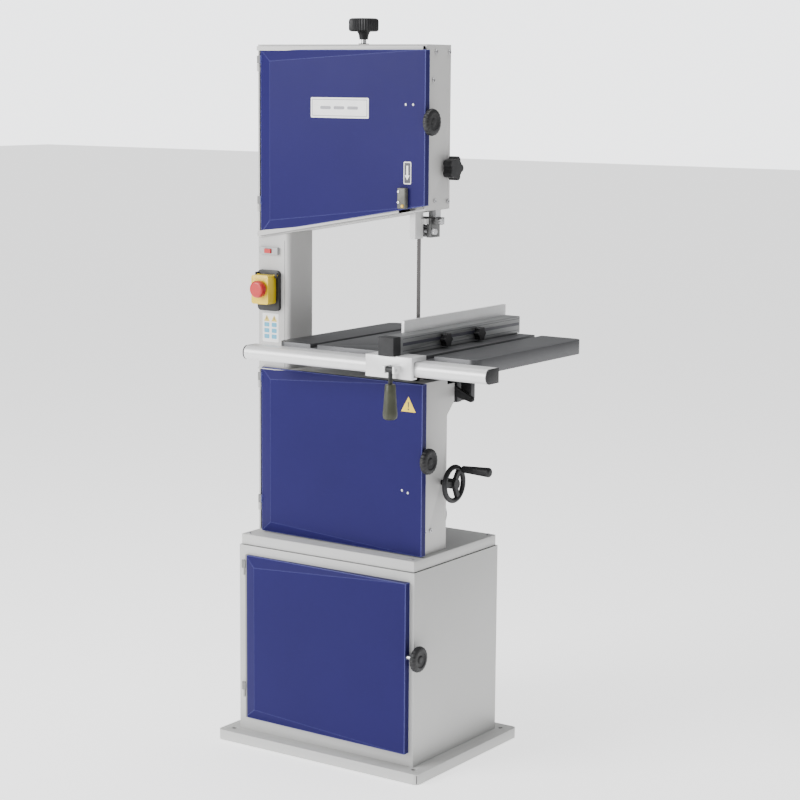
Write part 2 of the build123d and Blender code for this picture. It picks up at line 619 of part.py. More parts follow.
PULLEY_FRONT = PULLEY_BACK - PULLEY_W

with BuildPart() as lower_wheel:
    spoked_wheel(LOWER_Z, (RIM_FRONT, PULLEY_BACK), SHAFT_R + FIT)
    # the drive pulley is cast on the wheel's back
    tube(
        "y", WHEEL_PULLEY_R, SHAFT_R + FIT, (PULLEY_FRONT, PULLEY_BACK), (WHEEL_X, LOWER_Z)
    )
save(lower_wheel, "lower_wheel")

for tyre_name, tyre_z in (("upper_tyre", UPPER_Z), ("lower_tyre", LOWER_Z)):
    with BuildPart() as tyre:
        tube("y", TYRE_R, RIM_R + FIT, (RIM_FRONT, RIM_BACK), (WHEEL_X, tyre_z))
    save(tyre, tyre_name)

with BuildPart() as lower_shaft:
    rod("y", SHAFT_R, (RIM_FRONT - 6, BOSS_BACK + 2), (WHEEL_X, LOWER_Z))
save(lower_shaft, "lower_shaft")

BOSS_FRONT = PULLEY_BACK + 3

with BuildPart() as lower_bearing_block:
    rod("y", BOSS_R, (BOSS_FRONT, BOSS_BACK), (WHEEL_X, LOWER_Z))
    rod("y", BOSS_FLANGE_R, (BODY_BACK, BODY_BACK + 10), (WHEEL_X, LOWER_Z))
    rod("y", SHAFT_R + 3, (BOSS_FRONT, BOSS_BACK), (WHEEL_X, LOWER_Z), mode=Mode.SUBTRACT)
    for start in (BOSS_FRONT, BOSS_BACK - BEARING_W):
        seat = (start, start + BEARING_W)
        race = (start + FIT, start + BEARING_W - FIT)
        rod("y", BEARING_R + FIT, seat, (WHEEL_X, LOWER_Z), mode=Mode.SUBTRACT)
        tube("y", BEARING_R, SHAFT_R + RUN, race, (WHEEL_X, LOWER_Z))
save(lower_bearing_block, "lower_bearing_block")

# ================================================================ blade tension and tracking
with BuildPart() as tension_bracket:
    sides = (WHEEL_X - SLIDER_W / 2, WHEEL_X + SLIDER_W / 2)
    block(sides, (SLIDER_FRONT, SLIDER_BACK), (SLIDER_LOW, SLIDER_HIGH))
    # yoke over the spring
    block(sides, (SLIDER_FRONT, SLIDER_BACK), (YOKE_TOP - YOKE_T, YOKE_TOP))
    for edge in (sides[0], sides[1] - YOKE_T):
        block((edge, edge + YOKE_T), (SLIDER_FRONT, SLIDER_BACK), (SLIDER_HIGH, YOKE_TOP))
    screw_hole = (SCREW_END - TENSION_TRAVEL / 2, YOKE_TOP)
    rod("z", SCREW_R + RUN, screw_hole, (WHEEL_X, SCREW_Y), mode=Mode.SUBTRACT)
    rod("y", AXLE_R + FIT, (SLIDER_FRONT, SLIDER_BACK), (WHEEL_X, UPPER_Z), mode=Mode.SUBTRACT)
    tracking_hole = (SLIDER_BACK - TRACKING_DEPTH, SLIDER_BACK)
    rod("y", SCREW_R + RUN, tracking_hole, (WHEEL_X, TRACKING_Z), mode=Mode.SUBTRACT)
save(tension_bracket, "tension_bracket")

with BuildPart() as tension_spring:
    spring_low, spring_high = SLIDER_HIGH + WIRE_R + GAP, YOKE_TOP - YOKE_T - WIRE_R - GAP
    spring_rise = spring_high - spring_low
    with BuildLine() as coil:
        Helix(
            pitch=spring_rise / SPRING_TURNS,
            height=spring_rise,
            radius=SPRING_R,
            center=(WHEEL_X, SCREW_Y, spring_low),
        )
    with BuildSketch(Plane(origin=coil.line @ 0, z_dir=coil.line % 0)):
        Circle(WIRE_R)
    sweep(path=coil.line, is_frenet=True)
save(tension_spring, "tension_spring")

with BuildPart() as tension_knob:
    rod("z", SCREW_R, (SCREW_END, UPPER_TOP + KNOB_HUB_FROM), (WHEEL_X, SCREW_Y))
    rod("z", SCREW_R * 2, (UPPER_TOP + GAP, UPPER_TOP + 3), (WHEEL_X, SCREW_Y))
    with BuildSketch(Plane.XY.offset(UPPER_TOP + KNOB_HUB_FROM)):
        with Locations((WHEEL_X, SCREW_Y)):
            Circle(KNOB_HUB_R * 0.7)
    with BuildSketch(Plane.XY.offset(UPPER_TOP + KNOB_DISC_FROM)):
        with Locations((WHEEL_X, SCREW_Y)):
            Circle(KNOB_HUB_R)
    loft()
    rod(
        "z",
        TENSION_KNOB_R,
        (UPPER_TOP + KNOB_DISC_FROM, UPPER_TOP + KNOB_DISC_FROM + KNOB_DISC_T),
        (WHEEL_X, SCREW_Y),
    )
save(tension_knob, "tension_knob")

with BuildPart() as tracking_knob:
    screw = (SLIDER_BACK - TRACKING_DEPTH + 2, BODY_BACK + 14)
    rod("y", SCREW_R, screw, (WHEEL_X, TRACKING_Z))
    rod("y", TRACKING_KNOB_R, (BODY_BACK + 14, BODY_BACK + 34), (WHEEL_X, TRACKING_Z))
    fillet(tracking_knob.faces().sort_by(Axis.Y)[-1].edges(), 3)
save(tracking_knob, "tracking_knob")

# ================================================================ blade
def loop_outline(radius):
    """The closed path of the blade at a distance from the wheel centres, as a face."""
    for z in (LOWER_Z, UPPER_Z):
        with Locations((WHEEL_X, z)):
            Circle(radius)
    make_hull()


with BuildPart() as blade:
    with BuildSketch(facing(BLADE_Y + BLADE_W / 2)):
        loop_outline(LOOP_R + BLADE_T)
    extrude(amount=BLADE_W)
    with BuildSketch(facing(BLADE_Y + BLADE_W / 2)):
        loop_outline(LOOP_R)
    extrude(amount=BLADE_W, mode=Mode.SUBTRACT)
save(blade, "blade")

# ================================================================ motor and belt
with BuildPart() as motor:
    back_face = BODY_BACK + MOTOR_PLATE_T
    rod("y", MOTOR_SPIGOT_R, (INNER_BACK, BODY_BACK), (MOTOR_X, MOTOR_Z))
    rod("y", MOTOR_R, (BODY_BACK, back_face + MOTOR_L - FAN_COVER_L), (MOTOR_X, MOTOR_Z))
    # cooling fins
    for fin in range(FIN_COUNT):
        turn = 360 / FIN_COUNT * (fin + 0.5)
        middle = (MOTOR_X, back_face + (MOTOR_L - FAN_COVER_L) / 2, MOTOR_Z)
        with Locations(Location(middle, (0, turn, 0))):
            with Locations((MOTOR_R + FIN_H / 2 - 1, 0, 0)):
                Box(FIN_H, MOTOR_L - FAN_COVER_L - 12, FIN_T)
    rod("y", SHAFT_R + RUN, (INNER_BACK, back_face + 30), (MOTOR_X, MOTOR_Z), mode=Mode.SUBTRACT)
    # terminal box on the left side, with the cable gland under it
    block(
        (MOTOR_X - MOTOR_R - 34, MOTOR_X - MOTOR_R + 6),
        (back_face + 40, back_face + 110),
        (MOTOR_Z - 28, MOTOR_Z + 32),
    )
    rod("z", 10, (MOTOR_Z - 46, MOTOR_Z - 28), (MOTOR_X - MOTOR_R - 16, back_face + 75))
with BuildPart() as motor_fan_cover:
    cover = (back_face + MOTOR_L - FAN_COVER_L + GAP, back_face + MOTOR_L)
    rod("y", MOTOR_R + FIN_H, cover, (MOTOR_X, MOTOR_Z))
    fillet(motor_fan_cover.faces().sort_by(Axis.Y)[-1].edges(), 10)
    offset(amount=-CABINET_SHEET, openings=motor_fan_cover.faces().sort_by(Axis.Y)[0])
    for ring in (18, 32, 46):
        count = ring // 4 + 2
        with Locations(facing(cover[1])):
            with Locations((MOTOR_X, MOTOR_Z)):
                with PolarLocations(ring, count):
                    Cylinder(3.5, 4 * CABINET_SHEET, mode=Mode.SUBTRACT)

with BuildPart() as motor_unit:
    add(motor.part)
    add(motor_fan_cover.part)
save(motor_unit, "motor")

with BuildPart() as motor_pulley:
    rod("y", SHAFT_R, (PULLEY_FRONT - 2, back_face + 29), (MOTOR_X, MOTOR_Z))
    rod("y", MOTOR_PULLEY_R, (PULLEY_FRONT, PULLEY_BACK), (MOTOR_X, MOTOR_Z))
save(motor_pulley, "motor_pulley")

BELT_BACK = PULLEY_BACK - (PULLEY_W - BELT_W) / 2

with BuildPart() as drive_belt:
    for grow, mode in ((BELT_T, Mode.ADD), (0, Mode.SUBTRACT)):
        with BuildSketch(facing(BELT_BACK)):
            with Locations((WHEEL_X, LOWER_Z)):
                Circle(WHEEL_PULLEY_R + GAP + grow)
            with Locations((MOTOR_X, MOTOR_Z)):
                Circle(MOTOR_PULLEY_R + GAP + grow)
            make_hull()
        extrude(amount=BELT_W, mode=mode)
save(drive_belt, "drive_belt")

# the idler roller bears on the belt's right run, most of the way to the motor
run_x, run_z = WHEEL_X - MOTOR_X, LOWER_Z - MOTOR_Z
run_length = sqrt(run_x**2 + run_z**2)
lean = (WHEEL_PULLEY_R - MOTOR_PULLEY_R) / run_length
upright = sqrt(1 - lean**2)
NORMAL_X = (upright * run_z - lean * run_x) / run_length
NORMAL_Z = -(upright * run_x + lean * run_z) / run_length
RUN_R = WHEEL_PULLEY_R + (MOTOR_PULLEY_R - WHEEL_PULLEY_R) * IDLER_ALONG
ROLLER_OUT = RUN_R + BELT_T + 2 * GAP + IDLER_R
ROLLER_X = WHEEL_X - run_x * IDLER_ALONG + ROLLER_OUT * NORMAL_X
ROLLER_Z = LOWER_Z - run_z * IDLER_ALONG + ROLLER_OUT * NORMAL_Z

with BuildPart() as belt_idler:
    half = IDLER_BLOCK / 2
    slider = (IDLER_RAIL_X - 10, IDLER_RAIL_X + 33)
    carriage_y = (IDLER_Y - SCREW_R - 3, INNER_BACK - 2)
    block(slider, carriage_y, (IDLER_SCREW_Z - half, IDLER_SCREW_Z + half))
    arm_end = (slider[0] + 8, IDLER_SCREW_Z - half / 2)
    bar_between((ROLLER_X, ROLLER_Z), arm_end, 8, 7, PULLEY_BACK + 5, PULLEY_BACK + 10)
    rod("x", SCREW_R + RUN, slider, (IDLER_Y, IDLER_SCREW_Z), mode=Mode.SUBTRACT)
    rod("y", 4, (PULLEY_FRONT, PULLEY_BACK + 5), (ROLLER_X, ROLLER_Z))
    rod("y", IDLER_R, (PULLEY_FRONT + 1, PULLEY_BACK - 1), (ROLLER_X, ROLLER_Z))
save(belt_idler, "belt_idler")

# ================================================================ belt handwheel
with BuildPart() as belt_handwheel:
    hub = (BODY_RIGHT + 15, BODY_RIGHT + 42)
    rim_x = BODY_RIGHT + 33
    centre = (IDLER_Y, IDLER_SCREW_Z)
    rod("x", 12, hub, centre)
    with Locations(Location((rim_x, *centre), (0, 90, 0))):
        Torus(HANDWHEEL_R - HANDWHEEL_RIM, HANDWHEEL_RIM)
    for spoke in range(3):
        turn = 120 * spoke + GRIP_TURN
        with Locations(Location((rim_x, *centre), (turn, 0, 0))):
            with Locations((0, (HANDWHEEL_R - HANDWHEEL_RIM) / 2, 0)):
                Box(8, HANDWHEEL_R - HANDWHEEL_RIM, 12)
    rod("x", SCREW_R, (slider[0] + 12, hub[0]), centre)
    GRIP_Y = IDLER_Y + (HANDWHEEL_R - HANDWHEEL_RIM) * cos(radians(GRIP_TURN))
    GRIP_Z = IDLER_SCREW_Z + (HANDWHEEL_R - HANDWHEEL_RIM) * sin(radians(GRIP_TURN))
    grip_from = rim_x + HANDWHEEL_RIM + 4
    rod("x", 4, (rim_x, grip_from + GRIP_L - 10), (GRIP_Y, GRIP_Z))
save(belt_handwheel, "belt_handwheel")

with BuildPart() as handwheel_grip:
    with BuildSketch(Plane.YZ.offset(grip_from)):
        with Locations((GRIP_Y, GRIP_Z)):
            Circle(8)
    with BuildSketch(Plane.YZ.offset(grip_from + GRIP_L)):
        with Locations((GRIP_Y, GRIP_Z)):
            Circle(11.5)
    loft()
    fillet(handwheel_grip.faces().sort_by(Axis.X)[-1].edges(), 6)
    rod("x", 4 + RUN, (grip_from, grip_from + GRIP_L - 9), (GRIP_Y, GRIP_Z), mode=Mode.SUBTRACT)
save(handwheel_grip, "handwheel_grip")

# ================================================================ dust port
with BuildPart() as dust_port:
    tube("y", PORT_R, PORT_R - PORT_WALL, (BODY_BACK, BODY_BACK + PORT_L), (PORT_X, PORT_Z))
    tube("y", PORT_R + 12, PORT_R - PORT_WALL, (BODY_BACK, BODY_BACK + 4), (PORT_X, PORT_Z))
save(dust_port, "dust_port")

# ================================================================ blade guides
BLADE_REAR = BLADE_Y + BLADE_W / 2
GUIDE_FRONT = POST_Y - GUIDE_D / 2


def disc_centre_y(disc_r):
    """Side discs overlap the blade's rear edge by one millimetre."""
    return BLADE_REAR - 1 + disc_r


def guide_block_body(disc_r, thrust_r, disc_z, low, high, right):
    """A bar behind the blade with a lug either side for the discs, all bored for pins."""
    block((GUIDE_LEFT, right), (GUIDE_FRONT, GUIDE_FRONT + GUIDE_D), (low, high))
    disc_y = disc_centre_y(disc_r)
    for near in (GUIDE_LEFT, 2 * BLADE_X - GUIDE_LEFT - LUG_W):
        lug = (near, near + LUG_W)
        top_and_bottom = (min(low, disc_z - disc_r), max(high, disc_z + disc_r))
        block(lug, (disc_y - LUG_D / 2, GUIDE_FRONT + GUIDE_D), top_and_bottom)
        rod("x", disc_r / 2 + FIT, lug, (disc_y, disc_z), mode=Mode.SUBTRACT)
    thrust_z = disc_z + disc_r + thrust_r + 1
    pin = (BLADE_REAR + GAP, GUIDE_FRONT + LUG_D)
    rod("y", thrust_r / 2 + FIT, pin, (BLADE_X, thrust_z), mode=Mode.SUBTRACT)


def guide_discs(disc_r, thrust_r, disc_z):
    """Two side discs and a thrust disc round the blade, each on its own pin."""
    disc_y = disc_centre_y(disc_r)
    for side in (-1, 1):
        near = BLADE_X + side * (BLADE_T / 2 + GAP)
        far = near + side * DISC_T
        end = BLADE_X + side * (BLADE_X - GUIDE_LEFT)
        rod("x", disc_r, (min(near, far), max(near, far)), (disc_y, disc_z))
        rod("x", disc_r / 2, (min(far, end), max(far, end)), (disc_y, disc_z))
    thrust_z = disc_z + disc_r + thrust_r + 1
    face = BLADE_REAR + GAP
    rod("y", thrust_r, (face, face + 7), (BLADE_X, thrust_z))
    rod("y", thrust_r / 2, (face + 7, GUIDE_FRONT + LUG_D - 1), (BLADE_X, thrust_z))


with BuildPart() as guide_block:
    upper_set = (UPPER_DISC_R, UPPER_THRUST_R, UPPER_DISC_Z)
    guide_block_body(*upper_set, GUIDE_LOW, GUIDE_HIGH, GUIDE_RIGHT)
save(guide_block, "guide_block")

with BuildPart() as upper_guide_discs:
    guide_discs(UPPER_DISC_R, UPPER_THRUST_R, UPPER_DISC_Z)
save(upper_guide_discs, "upper_guide_discs")

with BuildPart() as lower_guide_block:
    low = LOWER_TOP + GAP
    lower_set = (LOWER_DISC_R, LOWER_THRUST_R, LOWER_DISC_Z)
    guide_block_body(*lower_set, low, low + 29, 2 * BLADE_X - GUIDE_LEFT)
save(lower_guide_block, "lower_guide_block")

with BuildPart() as lower_guide_discs:
    guide_discs(LOWER_DISC_R, LOWER_THRUST_R, LOWER_DISC_Z)
save(lower_guide_discs, "lower_guide_discs")

with BuildPart() as guide_post:
    block(
        (POST_X - POST / 2, POST_X + POST / 2),
        (POST_Y - POST / 2, POST_Y + POST / 2),
        (GUIDE_HIGH, POST_TOP),
    )
save(guide_post, "guide_post")

with BuildPart() as guide_post_bracket:
    reach = POST / 2 + GAP + SLEEVE_WALL
    block(
        (POST_X - reach, POST_X + reach),
        (POST_Y - reach, INNER_BACK),
        (SLEEVE_LOW, SLEEVE_HIGH),
    )
    hollow = POST / 2 + GAP
    block(
        (POST_X - hollow, POST_X + hollow),
        (POST_Y - hollow, POST_Y + hollow),
        (SLEEVE_LOW, SLEEVE_HIGH),
        mode=Mode.SUBTRACT,
    )
    rod("x", LOCK_R + RUN, (POST_X, POST_X + reach), (POST_Y, LOCK_Z), mode=Mode.SUBTRACT)
save(guide_post_bracket, "guide_post_bracket")

with BuildPart() as guide_lock_knob:
    rod("x", LOCK_R, (POST_X + hollow, BODY_RIGHT + 8), (POST_Y, LOCK_Z))
    with BuildSketch(Plane.YZ.offset(BODY_RIGHT + 8)) as lobes:
        with Locations((POST_Y, LOCK_Z)):
            Circle(LOCK_KNOB_R * 0.78)
            with PolarLocations(LOCK_KNOB_R * 0.68, 5):
                Circle(LOCK_KNOB_R * 0.32)
    extrude(amount=22)
    fillet(guide_lock_knob.faces().sort_by(Axis.X)[-1].edges(), 2)
save(guide_lock_knob, "guide_lock_knob")

with BuildPart() as blade_guard:
    block((GUARD_LEFT, GUARD_RIGHT), (GUARD_FRONT, GUARD_BACK), (GUARD_LOW, GUARD_HIGH))
    block(
        (GUARD_LEFT + GUARD_SHEET, GUARD_RIGHT - GUARD_SHEET),
        (GUARD_FRONT + GUARD_SHEET, GUARD_BACK),
        (GUARD_LOW, GUARD_HIGH),
        mode=Mode.SUBTRACT,
    )
    # the tab that bolts it to the guide block
    tab = (GUIDE_LOW + 2, GUIDE_HIGH - 2)
    block((GUARD_RIGHT, GUARD_RIGHT + 12), (GUARD_BACK - 8, GUARD_BACK - 4), tab)
    lug_front = disc_centre_y(UPPER_DISC_R) - LUG_D / 2
    block((GUARD_RIGHT + 8, GUARD_RIGHT + 12), (GUARD_BACK - 8, lug_front), tab)
save(blade_guard, "blade_guard")

# ================================================================ table
with BuildPart() as trunnion_bracket:
    bracket_x = (BLADE_X - CRADLE_REACH, BODY_RIGHT - SEAT_W - LOOSE)
    bracket_back = TRUNNION_YS[1] + TRUNNION_T
    block(bracket_x, (BODY_BACK, BODY_BACK + BRACKET_T), (BRACKET_LOW, BRACKET_HIGH))
    shelf_low = BRACKET_LOW + BRACKET_T
    block(bracket_x, (BODY_BACK, bracket_back), (BRACKET_LOW, shelf_low))
    cradle_top = TABLE_TOP - sqrt(TRUNNION_R**2 - CRADLE_REACH**2)
    for y in TRUNNION_YS:
        block(
            (BLADE_X - CRADLE_REACH, BLADE_X + CRADLE_REACH),
            (y, y + TRUNNION_T),
            (BRACKET_LOW, cradle_top),
        )
    cradle_ys = (TRUNNION_YS[0] - 1, bracket_back + 1)
    rod("y", TRUNNION_R + GAP, cradle_ys, (BLADE_X, TABLE_TOP), mode=Mode.SUBTRACT)
    pivot = (TRUNNION_YS[0], TRUNNION_YS[0] + TRUNNION_T)
    rod("y", SCREW_R + RUN, pivot, (TILT_LEVER_X, TILT_LEVER_Z), mode=Mode.SUBTRACT)
save(trunnion_bracket, "trunnion_bracket")

with BuildPart() as table_trunnions:
    for y in TRUNNION_YS:
        rod("y", TRUNNION_R, (y, y + TRUNNION_T), (BLADE_X, TABLE_TOP))
    flange_ys = (TRUNNION_YS[0] - 8, bracket_back + 8)
    flange_low = TABLE_UNDER - TABLE_PLATE
    block(
        (BLADE_X - TRUNNION_REACH, BLADE_X + TRUNNION_REACH),
        flange_ys,
        (TABLE_TOP - TRUNNION_R, flange_low),
        mode=Mode.INTERSECT,
    )
    block((BLADE_X - TRUNNION_REACH, BLADE_X + TRUNNION_REACH), flange_ys, (flange_low, TABLE_UNDER))
save(table_trunnions, "table_trunnions")

with BuildPart() as tilt_lock_lever:
    hub_ys = (TRUNNION_YS[0] - 9, TRUNNION_YS[0] - 1)
    lever_end = (TILT_LEVER_X + TILT_LEVER_REACH, TILT_LEVER_Z - TILT_LEVER_DROP)
    bar_between((TILT_LEVER_X, TILT_LEVER_Z), lever_end, 12, 6, *hub_ys)
    rod("y", SCREW_R, (hub_ys[0], pivot[1]), (TILT_LEVER_X, TILT_LEVER_Z))
save(tilt_lock_lever, "tilt_lock_lever")

with BuildPart() as table:
    block((TABLE_LEFT, TABLE_RIGHT), (TABLE_FRONT, TABLE_BACK), (TABLE_TOP - TABLE_APRON, TABLE_TOP))
    fillet(table.edges().filter_by(Axis.Z), TABLE_CORNER)
    block(
        (TABLE_LEFT + APRON_T, TABLE_RIGHT - APRON_T),
        (TABLE_FRONT + APRON_T, TABLE_BACK - APRON_T),
        (TABLE_TOP - TABLE_APRON, TABLE_UNDER),
        mode=Mode.SUBTRACT,
    )
    rib_zs = (TABLE_UNDER - RIB_DEPTH, TABLE_UNDER)
    for x in MITRE_SLOTS:
        block((x - MITRE_W, x + MITRE_W), (RIB_FRONT, TABLE_BACK - APRON_T), rib_zs)
        slot_zs = (TABLE_TOP - MITRE_H, TABLE_TOP)
        block(
            (x - MITRE_W / 2, x + MITRE_W / 2),
            (TABLE_FRONT, TABLE_BACK),
            slot_zs,
            mode=Mode.SUBTRACT,
        )
    for y in (bracket_back + 30, bracket_back + 90):
        block((TABLE_LEFT + APRON_T, TABLE_RIGHT - APRON_T), (y, y + RIB_W), rib_zs)
    insert_at = (BLADE_X, BLADE_Y)
    recess = (TABLE_TOP - INSERT_T, TABLE_TOP)
    rod("z", INSERT_R + GAP, recess, insert_at, mode=Mode.SUBTRACT)
    rod("z", TABLE_HOLE_R, (TABLE_UNDER, TABLE_TOP), insert_at, mode=Mode.SUBTRACT)
    # the slot the blade is threaded in through
    block(
        (BLADE_X - 2, BLADE_X + 2),
        (TABLE_FRONT, BLADE_Y),
        (TABLE_TOP - TABLE_APRON, TABLE_TOP),
        mode=Mode.SUBTRACT,
    )
save(table, "table")

with BuildPart() as table_insert:
    rod("z", INSERT_R, recess, insert_at)
    block(
        (BLADE_X - INSERT_SLOT_LEFT, BLADE_X + INSERT_SLOT_RIGHT),
        (BLADE_Y - INSERT_R, BLADE_REAR + 3),
        recess,
        mode=Mode.SUBTRACT,
    )
save(table_insert, "table_insert")

# ================================================================ rail and fence
def rail_outline():
    """The rail's section in (y, z): flat top and back, rounded front."""
    with BuildLine() as outline:
        Polyline(
            (RAIL_FRONT + RAIL_BULGE, RAIL_BOTTOM),
            (TABLE_FRONT, RAIL_BOTTOM),
            (TABLE_FRONT, RAIL_TOP),
            (RAIL_FRONT + RAIL_BULGE, RAIL_TOP),
        )
        ThreePointArc(
            (RAIL_FRONT + RAIL_BULGE, RAIL_TOP),
            (RAIL_FRONT, (RAIL_TOP + RAIL_BOTTOM) / 2),
            (RAIL_FRONT + RAIL_BULGE, RAIL_BOTTOM),
        )
    make_face(outline.edges())


with BuildPart() as rail:
    with BuildSketch(Plane.YZ.offset(RAIL_LEFT)):
        rail_outline()
        offset(amount=-RAIL_WALL, mode=Mode.SUBTRACT)
    extrude(amount=RAIL_RIGHT - RAIL_LEFT)
save(rail, "rail")

with BuildPart() as rail_caps:
    for start in (RAIL_LEFT - CAP_T, RAIL_RIGHT):
        with BuildSketch(Plane.YZ.offset(start)):
            rail_outline()
        extrude(amount=CAP_T)
save(rail_caps, "rail_caps")

FENCE_FLOOR = TABLE_TOP + GAP
CARRIAGE_FRONT = RAIL_FRONT - LOOSE - CARRIAGE_T
EAR_W, EAR_GAP = 6.0, 20.0

with BuildPart() as fence_carriage:
    span = (CARRIAGE_LEFT, CARRIAGE_RIGHT)
    block(span, (CARRIAGE_FRONT, CARRIAGE_FRONT + CARRIAGE_T), (RAIL_BOTTOM - 5, FENCE_FLOOR))
    block(span, (CARRIAGE_FRONT, TABLE_FRONT - 1), (RAIL_TOP + LOOSE, FENCE_FLOOR))
    block(span, (CARRIAGE_FRONT, RAIL_FRONT + 12), (RAIL_BOTTOM - 5, RAIL_BOTTOM - LOOSE))
    for side in (-1, 1):
        inner = CLAMP_X + side * EAR_GAP / 2
        outer = inner + side * EAR_W
        ear = (min(inner, outer), max(inner, outer))
        block(ear, (CLAMP_Y - 8, CARRIAGE_FRONT), (CLAMP_Z - 8, CLAMP_Z + 8))
        rod("x", 3 + RUN, ear, (CLAMP_Y, CLAMP_Z), mode=Mode.SUBTRACT)
save(fence_carriage, "fence_carriage")

with BuildPart() as fence_clamp_lever:
    ear_out = EAR_GAP / 2 + EAR_W
    rod("x", 3, (CLAMP_X - ear_out, CLAMP_X + ear_out), (CLAMP_Y, CLAMP_Z))
    hub_half = EAR_GAP / 2 - 0.5
    rod("x", 7, (CLAMP_X - hub_half, CLAMP_X + hub_half), (CLAMP_Y, CLAMP_Z))
    rod("z", 5, (CLAMP_GRIP_TOP, CLAMP_Z), (CLAMP_X, CLAMP_Y))
    for height, radius in ((CLAMP_GRIP_TOP, 12), (CLAMP_GRIP_LOW, 17)):
        with BuildSketch(Plane.XY.offset(height)):
            with Locations((CLAMP_X, CLAMP_Y)):
                Circle(radius)
    loft()
    fillet(fence_clamp_lever.faces().sort_by(Axis.Z)[0].edges(), 8)
save(fence_clamp_lever, "fence_clamp_lever")

BODY_X = FENCE_LEFT + FENCE_FACE_T

with BuildPart() as fence_body:
    block((BODY_X, BODY_X + FENCE_W), (FENCE_FRONT, FENCE_BACK), (FENCE_FLOOR, FENCE_FLOOR + FENCE_H))
    fillet(fence_body.edges().filter_by(Axis.Y), 2)
    for y in (STAR_FRONT_Y, STAR_REAR_Y):
        rod("x", 4 + RUN, (BODY_X, BODY_X + FENCE_W), (y, STAR_Z), mode=Mode.SUBTRACT)
save(fence_body, "fence_body")

with BuildPart() as fence_face:
    face_zs = (FENCE_FLOOR, FENCE_FLOOR + FENCE_FACE_H)
    block((FENCE_LEFT, BODY_X), (FENCE_FACE_FRONT, FENCE_BACK), face_zs)
    for y in (STAR_FRONT_Y, STAR_REAR_Y):
        rod("x", 4 + RUN, (FENCE_LEFT + 2, BODY_X), (y, STAR_Z), mode=Mode.SUBTRACT)
save(fence_face, "fence_face")

for star_name, star_y in (("fence_knob_front", STAR_FRONT_Y), ("fence_knob_rear", STAR_REAR_Y)):
    with BuildPart() as star_knob:
        knob_x = BODY_X + FENCE_W + 2
        rod("x", 4, (FENCE_LEFT + 3, knob_x), (star_y, STAR_Z))
        with BuildSketch(Plane.YZ.offset(knob_x)):
            with Locations((star_y, STAR_Z)):
                Circle(STAR_KNOB_R * 0.8)
                with PolarLocations(STAR_KNOB_R * 0.74, 6):
                    Circle(STAR_KNOB_R * 0.26)
        extrude(amount=14)
    save(star_knob, star_name)

# ================================================================ switches
SWITCH_FRONT = BODY_FRONT - SWITCH_T
FLAP_BACK = SWITCH_FRONT - 1
FLAP_FRONT = FLAP_BACK - FLAP_D
FLAP_PIVOT = (FLAP_BACK - 3.5, FLAP_HIGH - 1)

with BuildPart() as switch_plates:
    block((SWITCH_LEFT, SWITCH_RIGHT), (SWITCH_FRONT, BODY_FRONT), (SWITCH_LOW, SWITCH_HIGH))
    fillet(switch_plates.edges().filter_by(Axis.Y), 10)
    for ear in ((SWITCH_LEFT, FLAP_LEFT - 2), (FLAP_RIGHT + 2, SWITCH_RIGHT)):
        block(ear, (FLAP_PIVOT[0] - 5, SWITCH_FRONT), (FLAP_PIVOT[1] - 6, FLAP_PIVOT[1] + 6))
        rod("x", FLAP_PIN_R + RUN, ear, FLAP_PIVOT, mode=Mode.SUBTRACT)
    well = (SWITCH_FRONT, BODY_FRONT - 1)
    rod("y", START_R + GAP, well, (STOP_X, START_Z), mode=Mode.SUBTRACT)
    # the lamp's switch plate, higher up the column
    block(
        (PANEL_X - PANEL_W / 2, PANEL_X + PANEL_W / 2),
        (BODY_FRONT - PANEL_T, BODY_FRONT),
        (PANEL_Z - PANEL_H / 2, PANEL_Z + PANEL_H / 2),
    )
    block(
        (PANEL_X - ROCKER_W / 2 - 1.3, PANEL_X + ROCKER_W / 2 + 1.3),
        (BODY_FRONT - PANEL_T, BODY_FRONT),
        (PANEL_Z - ROCKER_H / 2 - GAP, PANEL_Z + ROCKER_H / 2 + GAP),
        mode=Mode.SUBTRACT,
    )
    rocker_pin = (PANEL_Z - ROCKER_H / 2 - ROCKER_PIN, PANEL_Z + ROCKER_H / 2 + ROCKER_PIN)
    rocker_axis = (PANEL_X, BODY_FRONT - PANEL_T + 3)
    rod("z", ROCKER_PIN_R + RUN, rocker_pin, rocker_axis, mode=Mode.SUBTRACT)
save(switch_plates, "switch_plates")

with BuildPart() as switch_flap:
    block((FLAP_LEFT, FLAP_RIGHT), (FLAP_FRONT, FLAP_BACK), (FLAP_LOW, FLAP_HIGH))
    fillet(switch_flap.edges().filter_by(Axis.Y), 6)
    offset(amount=-FLAP_WALL, openings=switch_flap.faces().sort_by(Axis.Y)[-1])
    for pin in ((SWITCH_LEFT + 1, FLAP_LEFT + 4), (FLAP_RIGHT - 4, SWITCH_RIGHT - 1)):
        rod("x", FLAP_PIN_R, pin, FLAP_PIVOT)
    front_wall = (FLAP_FRONT, FLAP_FRONT + FLAP_WALL)
    rod("y", SCREW_R + GAP, front_wall, (STOP_X, STOP_Z), mode=Mode.SUBTRACT)
save(switch_flap, "switch_flap")

with BuildPart() as stop_button:
    rod("y", SCREW_R, (FLAP_FRONT - 8, FLAP_FRONT + 18), (STOP_X, STOP_Z))
    rod("y", STOP_R, (FLAP_FRONT - 20, FLAP_FRONT - 6), (STOP_X, STOP_Z))
    fillet(stop_button.faces().sort_by(Axis.Y)[0].edges(), 6)
save(stop_button, "stop_button")

with BuildPart() as start_button:
    rod("y", START_R, (SWITCH_FRONT - 7, BODY_FRONT - 4.5), (STOP_X, START_Z))
save(start_button, "start_button")

